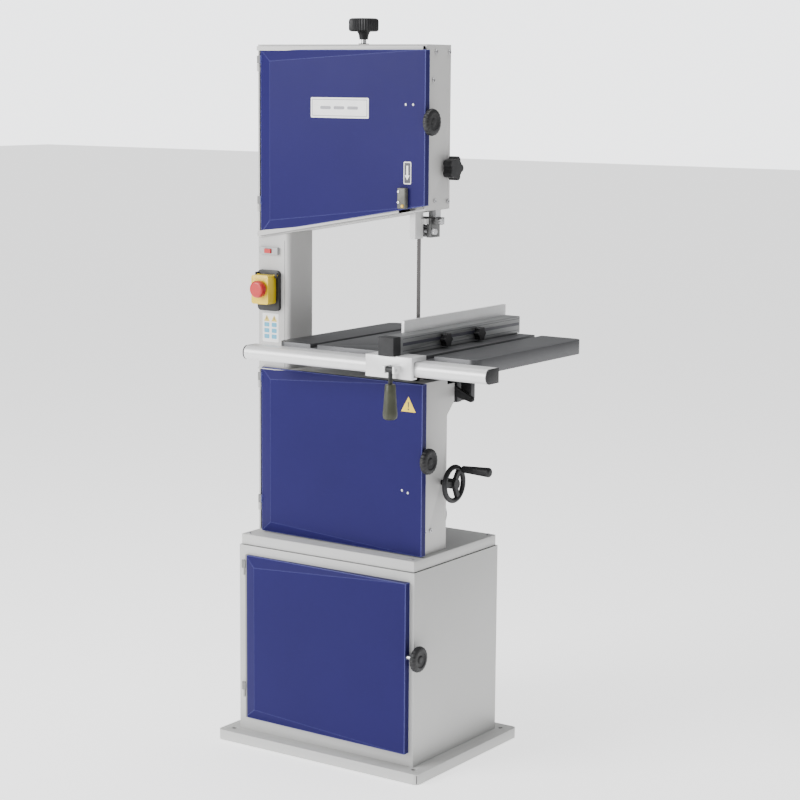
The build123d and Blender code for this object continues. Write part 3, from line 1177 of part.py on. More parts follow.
with BuildPart() as light_rocker:
    block(
        (PANEL_X - ROCKER_W / 2, PANEL_X + ROCKER_W / 2),
        (BODY_FRONT - PANEL_T - 3.5, BODY_FRONT - PANEL_T + 4),
        (PANEL_Z - ROCKER_H / 2, PANEL_Z + ROCKER_H / 2),
    )
    rod("z", ROCKER_PIN_R, (rocker_pin[0] + GAP, rocker_pin[1] - GAP), rocker_axis)
save(light_rocker, "light_rocker")

# ================================================================ fasteners
SIDE_BOLTS = (
    (-86, 1648), (-32, 1648), (-96, 1586), (-85, 1318), (-32, 1315), (-112, 563), (-89, 563),
)

with BuildPart() as frame_bolts:
    for y, z in SIDE_BOLTS:
        rod("x", BOLT_R, (BODY_RIGHT, BODY_RIGHT + BOLT_HEAD), (y, z))
save(frame_bolts, "frame_bolts")
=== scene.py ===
import json
from math import cos, pi, radians, sin

import bmesh
import bpy
from mathutils import Matrix, Vector


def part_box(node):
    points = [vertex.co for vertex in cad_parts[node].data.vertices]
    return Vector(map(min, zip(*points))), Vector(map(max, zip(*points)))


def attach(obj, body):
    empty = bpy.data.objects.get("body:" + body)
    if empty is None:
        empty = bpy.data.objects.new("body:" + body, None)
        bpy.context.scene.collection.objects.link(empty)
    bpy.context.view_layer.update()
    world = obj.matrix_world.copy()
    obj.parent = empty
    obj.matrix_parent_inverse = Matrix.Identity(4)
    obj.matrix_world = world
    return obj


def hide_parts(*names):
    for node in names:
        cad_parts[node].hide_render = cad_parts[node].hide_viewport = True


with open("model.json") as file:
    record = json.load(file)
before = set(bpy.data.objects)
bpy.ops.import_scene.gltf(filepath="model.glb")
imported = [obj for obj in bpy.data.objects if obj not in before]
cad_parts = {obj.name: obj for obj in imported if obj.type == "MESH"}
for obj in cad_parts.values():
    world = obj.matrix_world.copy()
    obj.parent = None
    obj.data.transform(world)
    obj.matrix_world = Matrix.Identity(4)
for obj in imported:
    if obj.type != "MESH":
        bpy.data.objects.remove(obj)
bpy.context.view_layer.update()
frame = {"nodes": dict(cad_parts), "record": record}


# ---------------------------------------------------------------- shader arithmetic
class Value:
    """A shader socket that takes part in Python arithmetic."""

    def __init__(self, paint, socket):
        self.paint = paint
        self.socket = socket

    def calc(self, operation, first, second):
        return self.paint.node("ShaderNodeMath", {"operation": operation}, {0: first, 1: second})

    def __add__(self, other):
        return self.calc("ADD", self, other)

    def __radd__(self, other):
        return self.calc("ADD", other, self)

    def __sub__(self, other):
        return self.calc("SUBTRACT", self, other)

    def __rsub__(self, other):
        return self.calc("SUBTRACT", other, self)

    def __mul__(self, other):
        return self.calc("MULTIPLY", self, other)

    def __rmul__(self, other):
        return self.calc("MULTIPLY", other, self)

    def above(self, limit):
        return self.calc("GREATER_THAN", self, limit)

    def below(self, limit):
        return self.calc("LESS_THAN", self, limit)

    def held(self):
        """The value kept between 0 and 1."""
        return self.paint.node("ShaderNodeClamp", {}, {0: self})


class Finish:
    """A material under construction, with the few patterns that the machine's finishes share."""

    def __init__(self, name):
        self.material = bpy.data.materials.new(name)
        self.material.use_nodes = True
        self.tree = self.material.node_tree
        self.tree.nodes.clear()
        self.shader = self.tree.nodes.new("ShaderNodeBsdfPrincipled")
        output = self.tree.nodes.new("ShaderNodeOutputMaterial")
        self.tree.links.new(self.shader.outputs[0], output.inputs[0])
        self.place = self.node("ShaderNodeTexCoord", {}, {}, "Object")

    def node(self, kind, settings, inputs, output=0):
        """Adds a node: its settings first, then the values or links of its sockets."""
        made = self.tree.nodes.new(kind)
        for key, value in settings.items():
            if key == "stops":
                ramp = made.color_ramp
                for at, colour in value[2:]:
                    ramp.elements.new(at)
                for element, (at, colour) in zip(ramp.elements, sorted(value, key=lambda stop: stop[0])):
                    element.position = at
                    element.color = (*colour, 1)
            else:
                setattr(made, key, value)
        for key, value in inputs.items():
            if isinstance(value, Value):
                self.tree.links.new(value.socket, made.inputs[key])
            else:
                made.inputs[key].default_value = value
        return Value(self, made.outputs[output])

    def noise(self, scale, detail=4.0, roughness=0.5, stretch=(1, 1, 1)):
        """Noise with the scale in repeats per metre, stretched along the axes."""
        spot = self.node("ShaderNodeMapping", {}, {"Vector": self.place, "Scale": stretch})
        sockets = {"Vector": spot, "Scale": scale, "Detail": detail, "Roughness": roughness}
        return self.node("ShaderNodeTexNoise", {}, sockets)

    def specks(self, scale):
        """Distance to scattered points, for pits and grit."""
        return self.node("ShaderNodeTexVoronoi", {}, {"Vector": self.place, "Scale": scale})

    def ramp(self, value, *stops):
        """Grey steps over a value, given as (position, grey) pairs."""
        pairs = [(at, (grey, grey, grey)) for at, grey in stops]
        ramp = self.node("ShaderNodeValToRGB", {"stops": pairs}, {0: value})
        return self.node("ShaderNodeRGBToBW", {}, {0: ramp})

    def tint(self, mask, low, high):
        """A colour that goes from low to high with the mask."""
        settings = {"data_type": "RGBA"}
        inputs = {
            0: mask,
            6: (*low, 1) if isinstance(low, tuple) else low,
            7: (*high, 1) if isinstance(high, tuple) else high,
        }
        return self.node("ShaderNodeMix", settings, inputs, 2)

    def place_along(self, axis):
        """The place along one of the machine's axes, in metres."""
        return self.node("ShaderNodeSeparateXYZ", {}, {0: self.place}, axis)

    def edges(self, radius, gain):
        """Bright where the surface bends within a radius: the mask for painted highlights along edges and
        creases.
        """
        soft = self.node("ShaderNodeBevel", {"samples": 4}, {"Radius": radius})
        sharp = self.node("ShaderNodeNewGeometry", {}, {}, "Normal")
        dot = self.node("ShaderNodeVectorMath", {"operation": "DOT_PRODUCT"}, {0: soft, 1: sharp}, 1)
        return ((1 - dot) * gain).held()

    def height(self, value, depth, strength=1.0, over=None):
        """A bump of a depth in metres, optionally laid over another one."""
        sockets = {"Height": value, "Distance": depth, "Strength": strength}
        if over is not None:
            sockets["Normal"] = over
        return self.node("ShaderNodeBump", {}, sockets)

    def finish(self, **sockets):
        """Sets the shader's own sockets and gives the material."""
        for key, value in sockets.items():
            socket = self.shader.inputs[key.replace("_", " ")]
            if isinstance(value, Value):
                self.tree.links.new(value.socket, socket)
            else:
                socket.default_value = (*value, 1) if isinstance(value, tuple) else value
        return self.material


# ---------------------------------------------------------------- finishes
DOORS_FROM = -0.2245  # the doors start here across the machine, past their knuckles
LAMP_PLATE_FROM = 1.16  # height between the stop switch and the lamp's switch


def powder_coat(name, colour, shade, gloss):
    """Sprayed grey paint: orange peel over a slow drift of tone and fine dust."""
    paint = Finish(name)
    drift = paint.noise(5.0, 3.0)
    dust = paint.noise(38.0, 6.0, 0.65)
    tone = paint.tint((drift * 0.7 + dust * 0.3).held(), shade, colour)
    peel = paint.noise(900.0, 2.0)
    return paint.finish(
        Base_Color=tone,
        Roughness=(gloss + 0.10 * dust).held(),
        Normal=paint.height(peel, 0.00006, 0.5),
        Coat_Weight=0.08,
        Coat_Roughness=0.25,
    )


def door_enamel(name):
    """Deep blue enamel: faint mottle, hairline scuffs, a painted highlight along the creases and grey hinge
    knuckles.
    """
    paint = Finish(name)
    drift = paint.noise(4.0, 3.0)
    mottle = paint.noise(60.0, 5.0, 0.6)
    scuffs = paint.ramp(paint.noise(60.0, 6.0, 0.7, (1, 1, 22)), (0.60, 0.0), (0.68, 1.0))
    depth = paint.tint((drift * 0.8 + mottle * 0.2).held(), (0.010, 0.0075, 0.066), (0.015, 0.011, 0.092))
    # painted highlight: the colour is lightened towards pale blue where the surface bends at the creases
    crease_highlighted = paint.tint((paint.edges(0.003, 45.0) * 0.7).held(), depth, (0.12, 0.13, 0.36))
    tone = paint.tint((scuffs * 0.06).held(), crease_highlighted, (0.10, 0.10, 0.32))
    knuckle = paint.place_along(0).below(DOORS_FROM)
    return paint.finish(
        Base_Color=paint.tint(knuckle, tone, (0.20, 0.20, 0.20)),
        Roughness=(0.40 + 0.10 * mottle + 0.08 * scuffs).held(),
        Normal=paint.height(paint.noise(700.0, 2.0), 0.00005, 0.5),
        Specular_IOR_Level=0.10,
    )


def moulded_black(name, colour=(0.008, 0.008, 0.009), rough=0.42):
    """Grained black plastic, greyer where hands rub it."""
    paint = Finish(name)
    grain = paint.noise(1400.0, 3.0, 0.6)
    wear = paint.ramp(paint.noise(35.0, 5.0, 0.6), (0.45, 0.0), (0.75, 1.0))
    worn = tuple(part * 1.8 + 0.006 for part in colour)
    return paint.finish(
        Base_Color=paint.tint(wear * 0.6, colour, worn),
        Roughness=(rough + 0.16 * grain - 0.10 * wear).held(),
        Normal=paint.height(grain, 0.00008, 0.6),
        Specular_IOR_Level=0.35,
    )


def switch_case(name):
    """Black plastic below, and the lamp's pale switch plate higher up the column."""
    paint = Finish(name)
    grain = paint.noise(1400.0, 3.0, 0.6)
    upper = paint.place_along(2).above(LAMP_PLATE_FROM)
    pale = paint.tint(grain, (0.34, 0.34, 0.34), (0.42, 0.42, 0.42))
    return paint.finish(
        Base_Color=paint.tint(upper, (0.008, 0.008, 0.009), pale),
        Roughness=(0.38 + 0.14 * grain).held(),
        Normal=paint.height(grain, 0.00008, 0.6),
    )


def ground_iron(name):
    """A ground cast-iron table top: fine grinding lines, oil stains and specks of rust."""
    paint = Finish(name)
    lines = paint.noise(420.0, 3.0, 0.6, (0.05, 1, 1))
    stains = paint.noise(9.0, 6.0, 0.65)
    pits = paint.ramp(paint.specks(160.0), (0.04, 1.0), (0.09, 0.0))
    base = paint.tint(stains, (0.036, 0.037, 0.040), (0.095, 0.096, 0.100))
    toned = paint.tint((lines * 0.35).held(), base, (0.21, 0.21, 0.215))
    return paint.finish(
        Base_Color=paint.tint(pits * 0.5, toned, (0.03, 0.024, 0.02)),
        Metallic=0.75,
        Roughness=(0.30 + 0.18 * stains + 0.10 * lines).held(),
        Normal=paint.height(lines, 0.00004, 0.6, paint.height(pits, -0.0002, 0.5)),
    )


def painted_casting(name, colour=(0.020, 0.020, 0.022)):
    """Sand-cast iron under black paint: coarse grain and dusty highs."""
    paint = Finish(name)
    sand = paint.noise(320.0, 5.0, 0.65)
    dust = paint.ramp(paint.noise(24.0, 5.0, 0.6), (0.45, 0.0), (0.8, 1.0))
    pale = tuple(part * 1.7 + 0.012 for part in colour)
    return paint.finish(
        Base_Color=paint.tint(dust * 0.7, colour, pale),
        Roughness=(0.46 + 0.2 * sand).held(),
        Normal=paint.height(sand, 0.0004, 0.55),
    )


def turned_metal(name, colour, rough, stretch, metallic=1.0):
    """Machined metal with fine tool marks along one direction."""
    paint = Finish(name)
    marks = paint.noise(700.0, 3.0, 0.6, stretch)
    smears = paint.noise(26.0, 5.0, 0.6)
    dull = tuple(part * 0.72 for part in colour)
    return paint.finish(
        Base_Color=paint.tint((smears * 0.6 + marks * 0.4).held(), dull, colour),
        Metallic=metallic,
        Roughness=(rough + 0.14 * smears + 0.08 * marks).held(),
        Normal=paint.height(marks, 0.00003, 0.5),
    )


def rubber(name):
    """Matt rubber with sawdust caught in it."""
    paint = Finish(name)
    grain = paint.noise(900.0, 3.0)
    dust = paint.ramp(paint.noise(70.0, 6.0, 0.7), (0.55, 0.0), (0.75, 1.0))
    return paint.finish(
        Base_Color=paint.tint(dust * 0.5, (0.022, 0.022, 0.022), (0.16, 0.12, 0.08)),
        Roughness=(0.72 + 0.15 * grain).held(),
        Normal=paint.height(grain, 0.0001, 0.6),
    )


def glossy_plastic(name, colour, rough=0.28):
    """Smooth coloured plastic with handling marks."""
    paint = Finish(name)
    haze = paint.noise(40.0, 5.0, 0.6)
    dark = tuple(part * 0.75 for part in colour)
    return paint.finish(
        Base_Color=paint.tint(haze, dark, colour),
        Roughness=(rough + 0.18 * haze).held(),
        Normal=paint.height(paint.noise(1100.0, 2.0), 0.00003, 0.5),
        Coat_Weight=0.15,
        Coat_Roughness=0.15,
    )


BODY_GREY = powder_coat("body_grey_paint", (0.50, 0.495, 0.485), (0.44, 0.435, 0.425), 0.40)
BASE_GREY = powder_coat("base_grey_paint", (0.53, 0.53, 0.52), (0.46, 0.46, 0.45), 0.42)
DOOR_BLUE = door_enamel("door_blue_enamel")
BLACK = moulded_black("black_moulding")
SWITCH_CASE = switch_case("switch_case")
OLIVE = moulded_black("olive_grip", (0.030, 0.032, 0.018), 0.38)
LASER_CASE = moulded_black("laser_case", (0.10, 0.10, 0.085), 0.40)
GROUND_IRON = ground_iron("ground_cast_iron")
CASTING = painted_casting("black_casting")
MOTOR_GREY = painted_casting("motor_grey_paint", (0.06, 0.065, 0.07))
WHEEL_ALLOY = turned_metal("wheel_alloy", (0.58, 0.58, 0.59), 0.34, (1, 0.1, 1))
BLADE_STEEL = turned_metal("blade_steel", (0.20, 0.19, 0.19), 0.34, (1, 1, 0.03))
BRIGHT_STEEL = turned_metal("bright_steel", (0.62, 0.62, 0.63), 0.24, (1, 0.1, 1))
RAIL_ALLOY = turned_metal("rail_alloy", (0.82, 0.82, 0.82), 0.26, (0.02, 1, 1), 0.3)
FACE_ALLOY = turned_metal("fence_face_alloy", (0.80, 0.80, 0.80), 0.30, (1, 0.02, 1), 0.25)
FENCE_GREY = turned_metal("fence_grey_alloy", (0.25, 0.255, 0.255), 0.34, (1, 0.02, 1), 0.7)
GUIDE_STEEL = turned_metal("guide_zinc_plate", (0.14, 0.14, 0.14), 0.34, (1, 0.3, 1), 0.8)
GUARD_WHITE = glossy_plastic("guard_white_paint", (0.72, 0.72, 0.71), 0.32)
TYRE_RUBBER = rubber("tyre_rubber")
STOP_RED = glossy_plastic("stop_red", (0.55, 0.012, 0.014))
START_GREEN = glossy_plastic("start_green", (0.02, 0.30, 0.06))
FLAP_YELLOW = glossy_plastic("flap_yellow", (0.85, 0.60, 0.01))
LABEL_WHITE = glossy_plastic("label_white", (0.90, 0.90, 0.89), 0.40)
# dark print on labels and signs; also painted shade: the column's shadow line and the shade in the fence's
# groove
DARK_PRINT_AND_SHADE = glossy_plastic("dark_print_and_painted_shade", (0.03, 0.03, 0.045), 0.35)
BADGE_GREY = glossy_plastic("badge_grey", (0.30, 0.30, 0.32), 0.40)
LABEL_BLUE = glossy_plastic("label_blue", (0.10, 0.42, 0.62), 0.40)
LABEL_AMBER = glossy_plastic("label_amber", (0.72, 0.55, 0.10), 0.40)
LENS_YELLOW = glossy_plastic("lens_yellow", (0.80, 0.50, 0.04), 0.12)
INSERT_ALLOY = turned_metal("insert_alloy", (0.66, 0.66, 0.67), 0.28, (1, 0.2, 1))


# ---------------------------------------------------------------- mesh helpers
MM = 0.001


def body_of_node(node):
    """The CAD body a node belongs to."""
    for body, nodes in frame["record"]["behaviour"]["bodies"].items():
        if node in nodes:
            return body
    raise KeyError(node)


def slot_of_node(node):
    """The record's material slot of a node."""
    for entry in frame["record"]["subparts"]:
        if entry["node"] == node:
            return entry["material_slot"]
    raise KeyError(node)


def piece(name, mesh, material, body, slot, smooth=40.0):
    """A new object for a mesh, smoothed below an angle, riding on a body."""
    for face in mesh.polygons:
        face.use_smooth = True
    mesh.set_sharp_from_angle(angle=radians(smooth))
    made = bpy.data.objects.new(name, mesh)
    bpy.context.scene.collection.objects.link(made)
    made.data.materials.append(material)
    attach(made, body)
    return made


def to_mesh(name, shape):
    """Turns a finished bmesh into a mesh with outward faces."""
    bmesh.ops.recalc_face_normals(shape, faces=shape.faces)
    mesh = bpy.data.meshes.new(name)
    shape.to_mesh(mesh)
    shape.free()
    return mesh


def eased(node, width, material, steps=2, angle=28.0, smooth=40.0):
    """Stands in for a CAD node with the same shape and slightly rounded edges."""
    source = frame["nodes"][node]
    shape = bmesh.new()
    shape.from_mesh(source.data)
    bmesh.ops.remove_doubles(shape, verts=shape.verts, dist=0.00001)
    bmesh.ops.dissolve_limit(shape, angle_limit=radians(1.0), verts=shape.verts, edges=shape.edges)
    sharp = [
        edge
        for edge in shape.edges
        if len(edge.link_faces) == 2 and edge.calc_face_angle(0) > radians(angle)
    ]
    bmesh.ops.bevel(
        shape,
        geom=sharp,
        offset=width * MM,
        offset_type="OFFSET",
        segments=steps,
        profile=0.5,
        affect="EDGES",
        clamp_overlap=True,
    )
    name = node + "_eased"
    made = piece(name, to_mesh(name, shape), material, body_of_node(node), slot_of_node(node), smooth)
    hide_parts(node)
    return made


def turned(name, profile, centre, axis, material, body, slot, segments=48, ribs=0, rib_depth=0.0):
    """A shape turned about an axis: (radius, along) points in millimetres, with optional ribs."""
    shape = bmesh.new()
    rings = []
    for radius, along in profile:
        ring = []
        for step in range(segments):
            angle = 2 * pi * step / segments
            dip = 1.0
            if ribs and radius > rib_depth * 4:
                dip = 1 - rib_depth / radius * (0.5 - 0.5 * cos(angle * ribs))
            ring.append(shape.verts.new((radius * dip * cos(angle), radius * dip * sin(angle), along)))
        rings.append(ring)
    for low, high in zip(rings, rings[1:]):
        for step in range(segments):
            after = (step + 1) % segments
            shape.faces.new((low[step], low[after], high[after], high[step]))
    shape.faces.new(rings[0])
    shape.faces.new(rings[-1])
    bmesh.ops.scale(shape, vec=(MM, MM, MM), verts=shape.verts)
    turn = Vector((0, 0, 1)).rotation_difference(Vector(axis)).to_matrix().to_4x4()
    move = Matrix.Translation(Vector(centre) * MM)
    bmesh.ops.transform(shape, matrix=move @ turn, verts=shape.verts)
    return piece(name, to_mesh(name, shape), material, body, slot, 35.0)


def plate(name, size, centre, facing, thickness, corner, material, body, slot):
    """A thin plate with round corners, its edge slightly rolled, lying on a surface.

    size is (across, up) and facing is the axis that its face looks along: -y or +x.
    """
    wide, tall = size[0] / 2, size[1] / 2
    roll = min(thickness * 0.3, 0.8)
    outline = []
    for quarter, (x, z) in enumerate(((wide, tall), (-wide, tall), (-wide, -tall), (wide, -tall))):
        for step in range(7):
            angle = pi / 2 * (quarter + step / 6)
            across = x - corner * (1 if x > 0 else -1) + corner * cos(angle)
            up = z - corner * (1 if z > 0 else -1) + corner * sin(angle)
            outline.append((across, up))
    shape = bmesh.new()
    rings = []
    for inset, out in ((0, 0), (0, thickness - roll), (roll, thickness)):
        ring = []
        for across, up in outline:
            across -= inset * across / wide
            up -= inset * up / tall
            spot = (across, -out, up) if facing == "-y" else (out, across, up)
            ring.append(shape.verts.new((Vector(spot) + Vector(centre)) * MM))
        rings.append(ring)
    for low, high in zip(rings, rings[1:]):
        for step in range(len(outline)):
            after = (step + 1) % len(outline)
            shape.faces.new((low[step], low[after], high[after], high[step]))
    shape.faces.new(rings[0])
    shape.faces.new(rings[-1])
    return piece(name, to_mesh(name, shape), material, body, slot, 30.0)


def outline_plate(name, points, y, thickness, material, body, slot):
    """A flat shape facing the operator, from (x, z) points in millimetres."""
    shape = bmesh.new()
    back = [shape.verts.new((x * MM, y * MM, z * MM)) for x, z in points]
    front = [shape.verts.new((x * MM, (y - thickness) * MM, z * MM)) for x, z in points]
    shape.faces.new(back)
    shape.faces.new(front)
    for step in range(len(points)):
        after = (step + 1) % len(points)
        shape.faces.new((back[step], back[after], front[after], front[step]))
    return piece(name, to_mesh(name, shape), material, body, slot, 30.0)


def socket_screw(name, centre, axis, radius, head, material, body, slot):
    """A cap screw: round head with a rolled edge and a hexagon socket."""
    well = radius * 0.5
    profile = [
        (radius, 0),
        (radius, head * 0.8),
        (radius * 0.9, head),
        (well, head),
        (well, head * 0.45),
    ]
    return turned(name, profile, centre, axis, material, body, slot, segments=30)


def dome_rivet(name, centre, axis, radius, material, body, slot):
    """A low domed head."""
    profile = [(radius * cos(t * pi / 10), radius * 0.45 * sin(t * pi / 10)) for t in range(5)]
    return turned(name, profile, centre, axis, material, body, slot, segments=20)


# ---------------------------------------------------------------- CAD pieces and their finishes
EASED = {
    # node: (edge radius in millimetres, finish)
    "base_plate": (1.5, BASE_GREY),
    "cabinet_shell": (0.6, BASE_GREY),
    "stand_top": (1.5, BASE_GREY),
    "column": (1.0, BODY_GREY),
    "upper_housing": (1.2, BODY_GREY),
    "lower_housing": (1.2, BODY_GREY),
    "upper_door": (0.8, DOOR_BLUE),
    "lower_door": (0.8, DOOR_BLUE),
    "cabinet_door": (0.8, DOOR_BLUE),
    "table": (0.9, GROUND_IRON),
    "trunnion_bracket": (1.5, CASTING),
    "table_trunnions": (1.5, CASTING),
    "fence_body": (0.6, FENCE_GREY),
    "fence_face": (0.6, FACE_ALLOY),
    "fence_carriage": (1.0, RAIL_ALLOY),
    "guide_block": (1.0, GUIDE_STEEL),
    "lower_guide_block": (0.8, GUIDE_STEEL),
    "switch_plates": (1.0, SWITCH_CASE),
    "switch_flap": (0.8, FLAP_YELLOW),
    "laser_unit": (1.2, LASER_CASE),
    "tension_bracket": (1.0, CASTING),
    "rail_caps": (0.8, BLACK),
}
for node, (width, finish) in EASED.items():
    if finish is DOOR_BLUE:
        eased(node, width, finish, angle=8.0, smooth=9.0)
    else:
        eased(node, width, finish)

KEPT = {
    "hinge_pins": BRIGHT_STEEL,
    "lower_bearing_block": CASTING,
    "motor": MOTOR_GREY,
    "drive_belt": TYRE_RUBBER,
    "guide_post_bracket": CASTING,
    "lower_guide_discs": BRIGHT_STEEL,
    "upper_guide_discs": BRIGHT_STEEL,
    "dust_port": BLACK,
    "tension_spring": BRIGHT_STEEL,
    "upper_axle": BRIGHT_STEEL,
    "upper_wheel": WHEEL_ALLOY,
    "lower_wheel": WHEEL_ALLOY,
    "upper_tyre": TYRE_RUBBER,
    "lower_tyre": TYRE_RUBBER,
    "lower_shaft": BRIGHT_STEEL,
    "motor_pulley": WHEEL_ALLOY,
    "belt_idler": BRIGHT_STEEL,
    "belt_handwheel": BLACK,
    "handwheel_grip": BLACK,
    "guide_post": BRIGHT_STEEL,
    "blade_guard": GUARD_WHITE,
    "guide_lock_knob": BLACK,
    "table_insert": INSERT_ALLOY,
    "tilt_lock_lever": BLACK,
    "rail": RAIL_ALLOY,
    "fence_knob_front": BLACK,
    "fence_knob_rear": BLACK,
    "stop_button": STOP_RED,
    "start_button": START_GREEN,
    "light_rocker": STOP_RED,
    "tracking_knob": BLACK,
    "blade": BLADE_STEEL,
    "upper_door_knob": BLACK,
    "lower_door_knob": BLACK,
    "cabinet_door_knob": BLACK,
    "tension_knob": BLACK,
    "fence_clamp_lever": OLIVE,
    "frame_bolts": BRIGHT_STEEL,
}
for node, finish in KEPT.items():
    shown = frame["nodes"][node]
    shown.data.materials.clear()
    shown.data.materials.append(finish)


# ---------------------------------------------------------------- turned knobs and bolts
def centre_of(node):
    """The middle of a CAD node's box, in millimetres."""
    low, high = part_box(node)
    return (low + high) * 500


def door_knob(node):
    """A black latch knob with a fluted rim and a dished face, on its bright spindle."""
    low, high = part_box(node)
    middle = centre_of(node)
    end, radius = high.x * 1000, (high.z - low.z) * 500
    spot = (end, middle.y, middle.z)
    profile = [
        (8, -17.9), (20, -17.5), (26, -15), (radius - 0.5, -12), (radius, -9),
        (radius, -5), (radius - 1.5, -2), (radius - 5, -0.2), (radius - 10, -0.2),
        (radius - 12, -2.0), (10, -2.6), (7, -0.4), (3, -0.1),
    ]
    body, slot = body_of_node(node), slot_of_node(node)
    rim = turned(node + "_rim", profile, spot, (1, 0, 0), BLACK, body, slot, 120, 20, 1.1)
    hook = turned(
        node + "_spindle",
        [(5, -18.5 - (end - 18 - low.x * 1000)), (5, -17.5)],
        spot, (1, 0, 0), BRIGHT_STEEL, body, "steel", 24,
    )
    arm = bpy.data.objects.new(node + "_hook", hook_mesh(node, low, middle))
    bpy.context.scene.collection.objects.link(arm)
    arm.data.materials.append(BRIGHT_STEEL)
    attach(arm, body)
    for made in (rim, hook, arm):
        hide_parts(node)


def hook_mesh(node, low, middle):
    """The latch hook: an arm up from the spindle with a tooth at its end."""
    x, y, z = low.x * 1000, middle.y, middle.z
    shape = bmesh.new()
    outline = [(-5, 0), (4, 0), (4, 17), (10, 17), (10, 21), (-5, 21)]
    sides = [
        [shape.verts.new(((x + dx) * MM, (y + dy) * MM, (z + dz) * MM)) for dy, dz in outline]
        for dx in (0, 6)
    ]
    shape.faces.new(sides[0])
    shape.faces.new(sides[1])
    for step in range(len(outline)):
        after = (step + 1) % len(outline)
        shape.faces.new((sides[0][step], sides[0][after], sides[1][after], sides[1][step]))
    return to_mesh(node + "_hook", shape)


for node in ("upper_door_knob", "lower_door_knob", "cabinet_door_knob"):
    door_knob(node)


def tension_handle():
    """The blade tension knob: fluted disc on a flared hub, over a bright screw and washer."""
    low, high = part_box("tension_knob")
    x, y = centre_of("tension_knob").x, centre_of("tension_knob").y
    top, radius = high.z * 1000, (high.x - low.x) * 500
    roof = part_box("upper_housing")[1].z * 1000
    disc = [
        (14, roof + 30), (radius - 5, roof + 30), (radius - 1, roof + 32), (radius, roof + 35),
        (radius, top - 6), (radius - 1.5, top - 2), (radius - 6, top), (24, top), (20, top - 1.5),
        (4, top - 2.2),
    ]
    hub = [(10, roof + 12), (10.5, roof + 16), (11.5, roof + 22), (13.5, roof + 27), (16, roof + 30.3)]
    washer = [(12, roof + 0.35), (12, roof + 2.6), (11.5, roof + 3), (7, roof + 3)]
    screw = [(6, low.z * 1000), (6, roof + 12.5)]
    spot, up, body = (x, y, 0), (0, 0, 1), "tension_knob"
    parts = (
        turned("tension_disc", disc, spot, up, BLACK, body, "knob_plastic", 216, 36, 1.6),
        turned("tension_hub", hub, spot, up, BLACK, body, "knob_plastic", 48),
        turned("tension_washer", washer, spot, up, CASTING, body, "steel", 40),
        turned("tension_screw", screw, spot, up, BRIGHT_STEEL, body, "steel", 24),
    )
    for part in parts:
        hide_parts("tension_knob")


tension_handle()


def clamp_lever():
    """The fence clamp: bright cross pin through a black hub, a black stem and a tapered olive grip."""
    low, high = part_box("fence_clamp_lever")
    middle = centre_of("fence_clamp_lever")
    pin_z = high.z * 1000 - 7
    grip_top = pin_z - 32
    foot = low.z * 1000
    y = middle.y
    grip = [
        (4, grip_top), (10.5, grip_top - 0.5), (12, grip_top - 3), (13, grip_top - 20),
        (15, grip_top - 50), (16.4, foot + 16), (16.4, foot + 9), (15, foot + 4), (11, foot + 1),
        (5, foot),
    ]
    stem = [(5, grip_top - 1), (5, pin_z)]
    body, x = "fence_clamp_lever", middle.x
    parts = (
        turned("clamp_grip", grip, (x, y, 0), (0, 0, 1), OLIVE, body, "grip_plastic", 48),
        turned("clamp_stem", stem, (x, y, 0), (0, 0, 1), BLACK, body, "steel", 24),
        turned("clamp_hub", [(7, -9.5), (7, 9.5)], (x, y, pin_z), (1, 0, 0), BLACK, body, "steel", 32),
        turned("clamp_pin", [(3, -16), (3, 16)], (x, y, pin_z), (1, 0, 0), BRIGHT_STEEL, body, "steel", 20),
    )
    for part in parts:
        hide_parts("fence_clamp_lever")


clamp_lever()


def toothed_blade():
    """The blade as a thin band with set teeth along its front edge."""
    low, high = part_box("blade")
    front, back = low.y, high.y
    wheels = [centre_of(node) * MM for node in ("upper_wheel", "lower_wheel")]
    radius = (high.x - low.x) / 2 - 0.0007
    top, bottom = wheels[0].z, wheels[1].z
    x = wheels[0].x
    straight = top - bottom
    length = 2 * straight + 2 * pi * radius
    teeth = int(length / 0.0045)
    depth = 0.0016

    def spot(along):
        """Point on the band's inner face and its outward direction."""
        if along < straight:
            return (x + radius, bottom + along), (1.0, 0.0)
        along -= straight
        if along < pi * radius:
            angle = along / radius
            return (x + radius * cos(angle), top + radius * sin(angle)), (cos(angle), sin(angle))
        along -= pi * radius
        if along < straight:
            return (x - radius, top - along), (-1.0, 0.0)
        along -= straight
        angle = pi + along / radius
        return (x + radius * cos(angle), bottom + radius * sin(angle)), (cos(angle), sin(angle))

    shape = bmesh.new()
    rows = []
    for tooth in range(teeth):
        for share, inset in ((0.0, 0.0), (0.12, depth), (0.55, depth * 0.75)):
            (px, pz), (nx, nz) = spot(length * (tooth + share) / teeth)
            row = []
            for lift, y in ((0.0, front + inset), (0.0007, front + inset), (0.0007, back), (0.0, back)):
                row.append(shape.verts.new((px + nx * lift, y, pz + nz * lift)))
            rows.append(row)
    for here, after in zip(rows, rows[1:] + rows[:1]):
        for step in range(4):
            turn = (step + 1) % 4
            shape.faces.new((here[step], here[turn], after[turn], after[step]))
    mesh = to_mesh("blade_toothed", shape)
    band = piece("blade_toothed", mesh, BLADE_STEEL, "frame", "blade_steel", 30.0)
    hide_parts("blade")


toothed_blade()

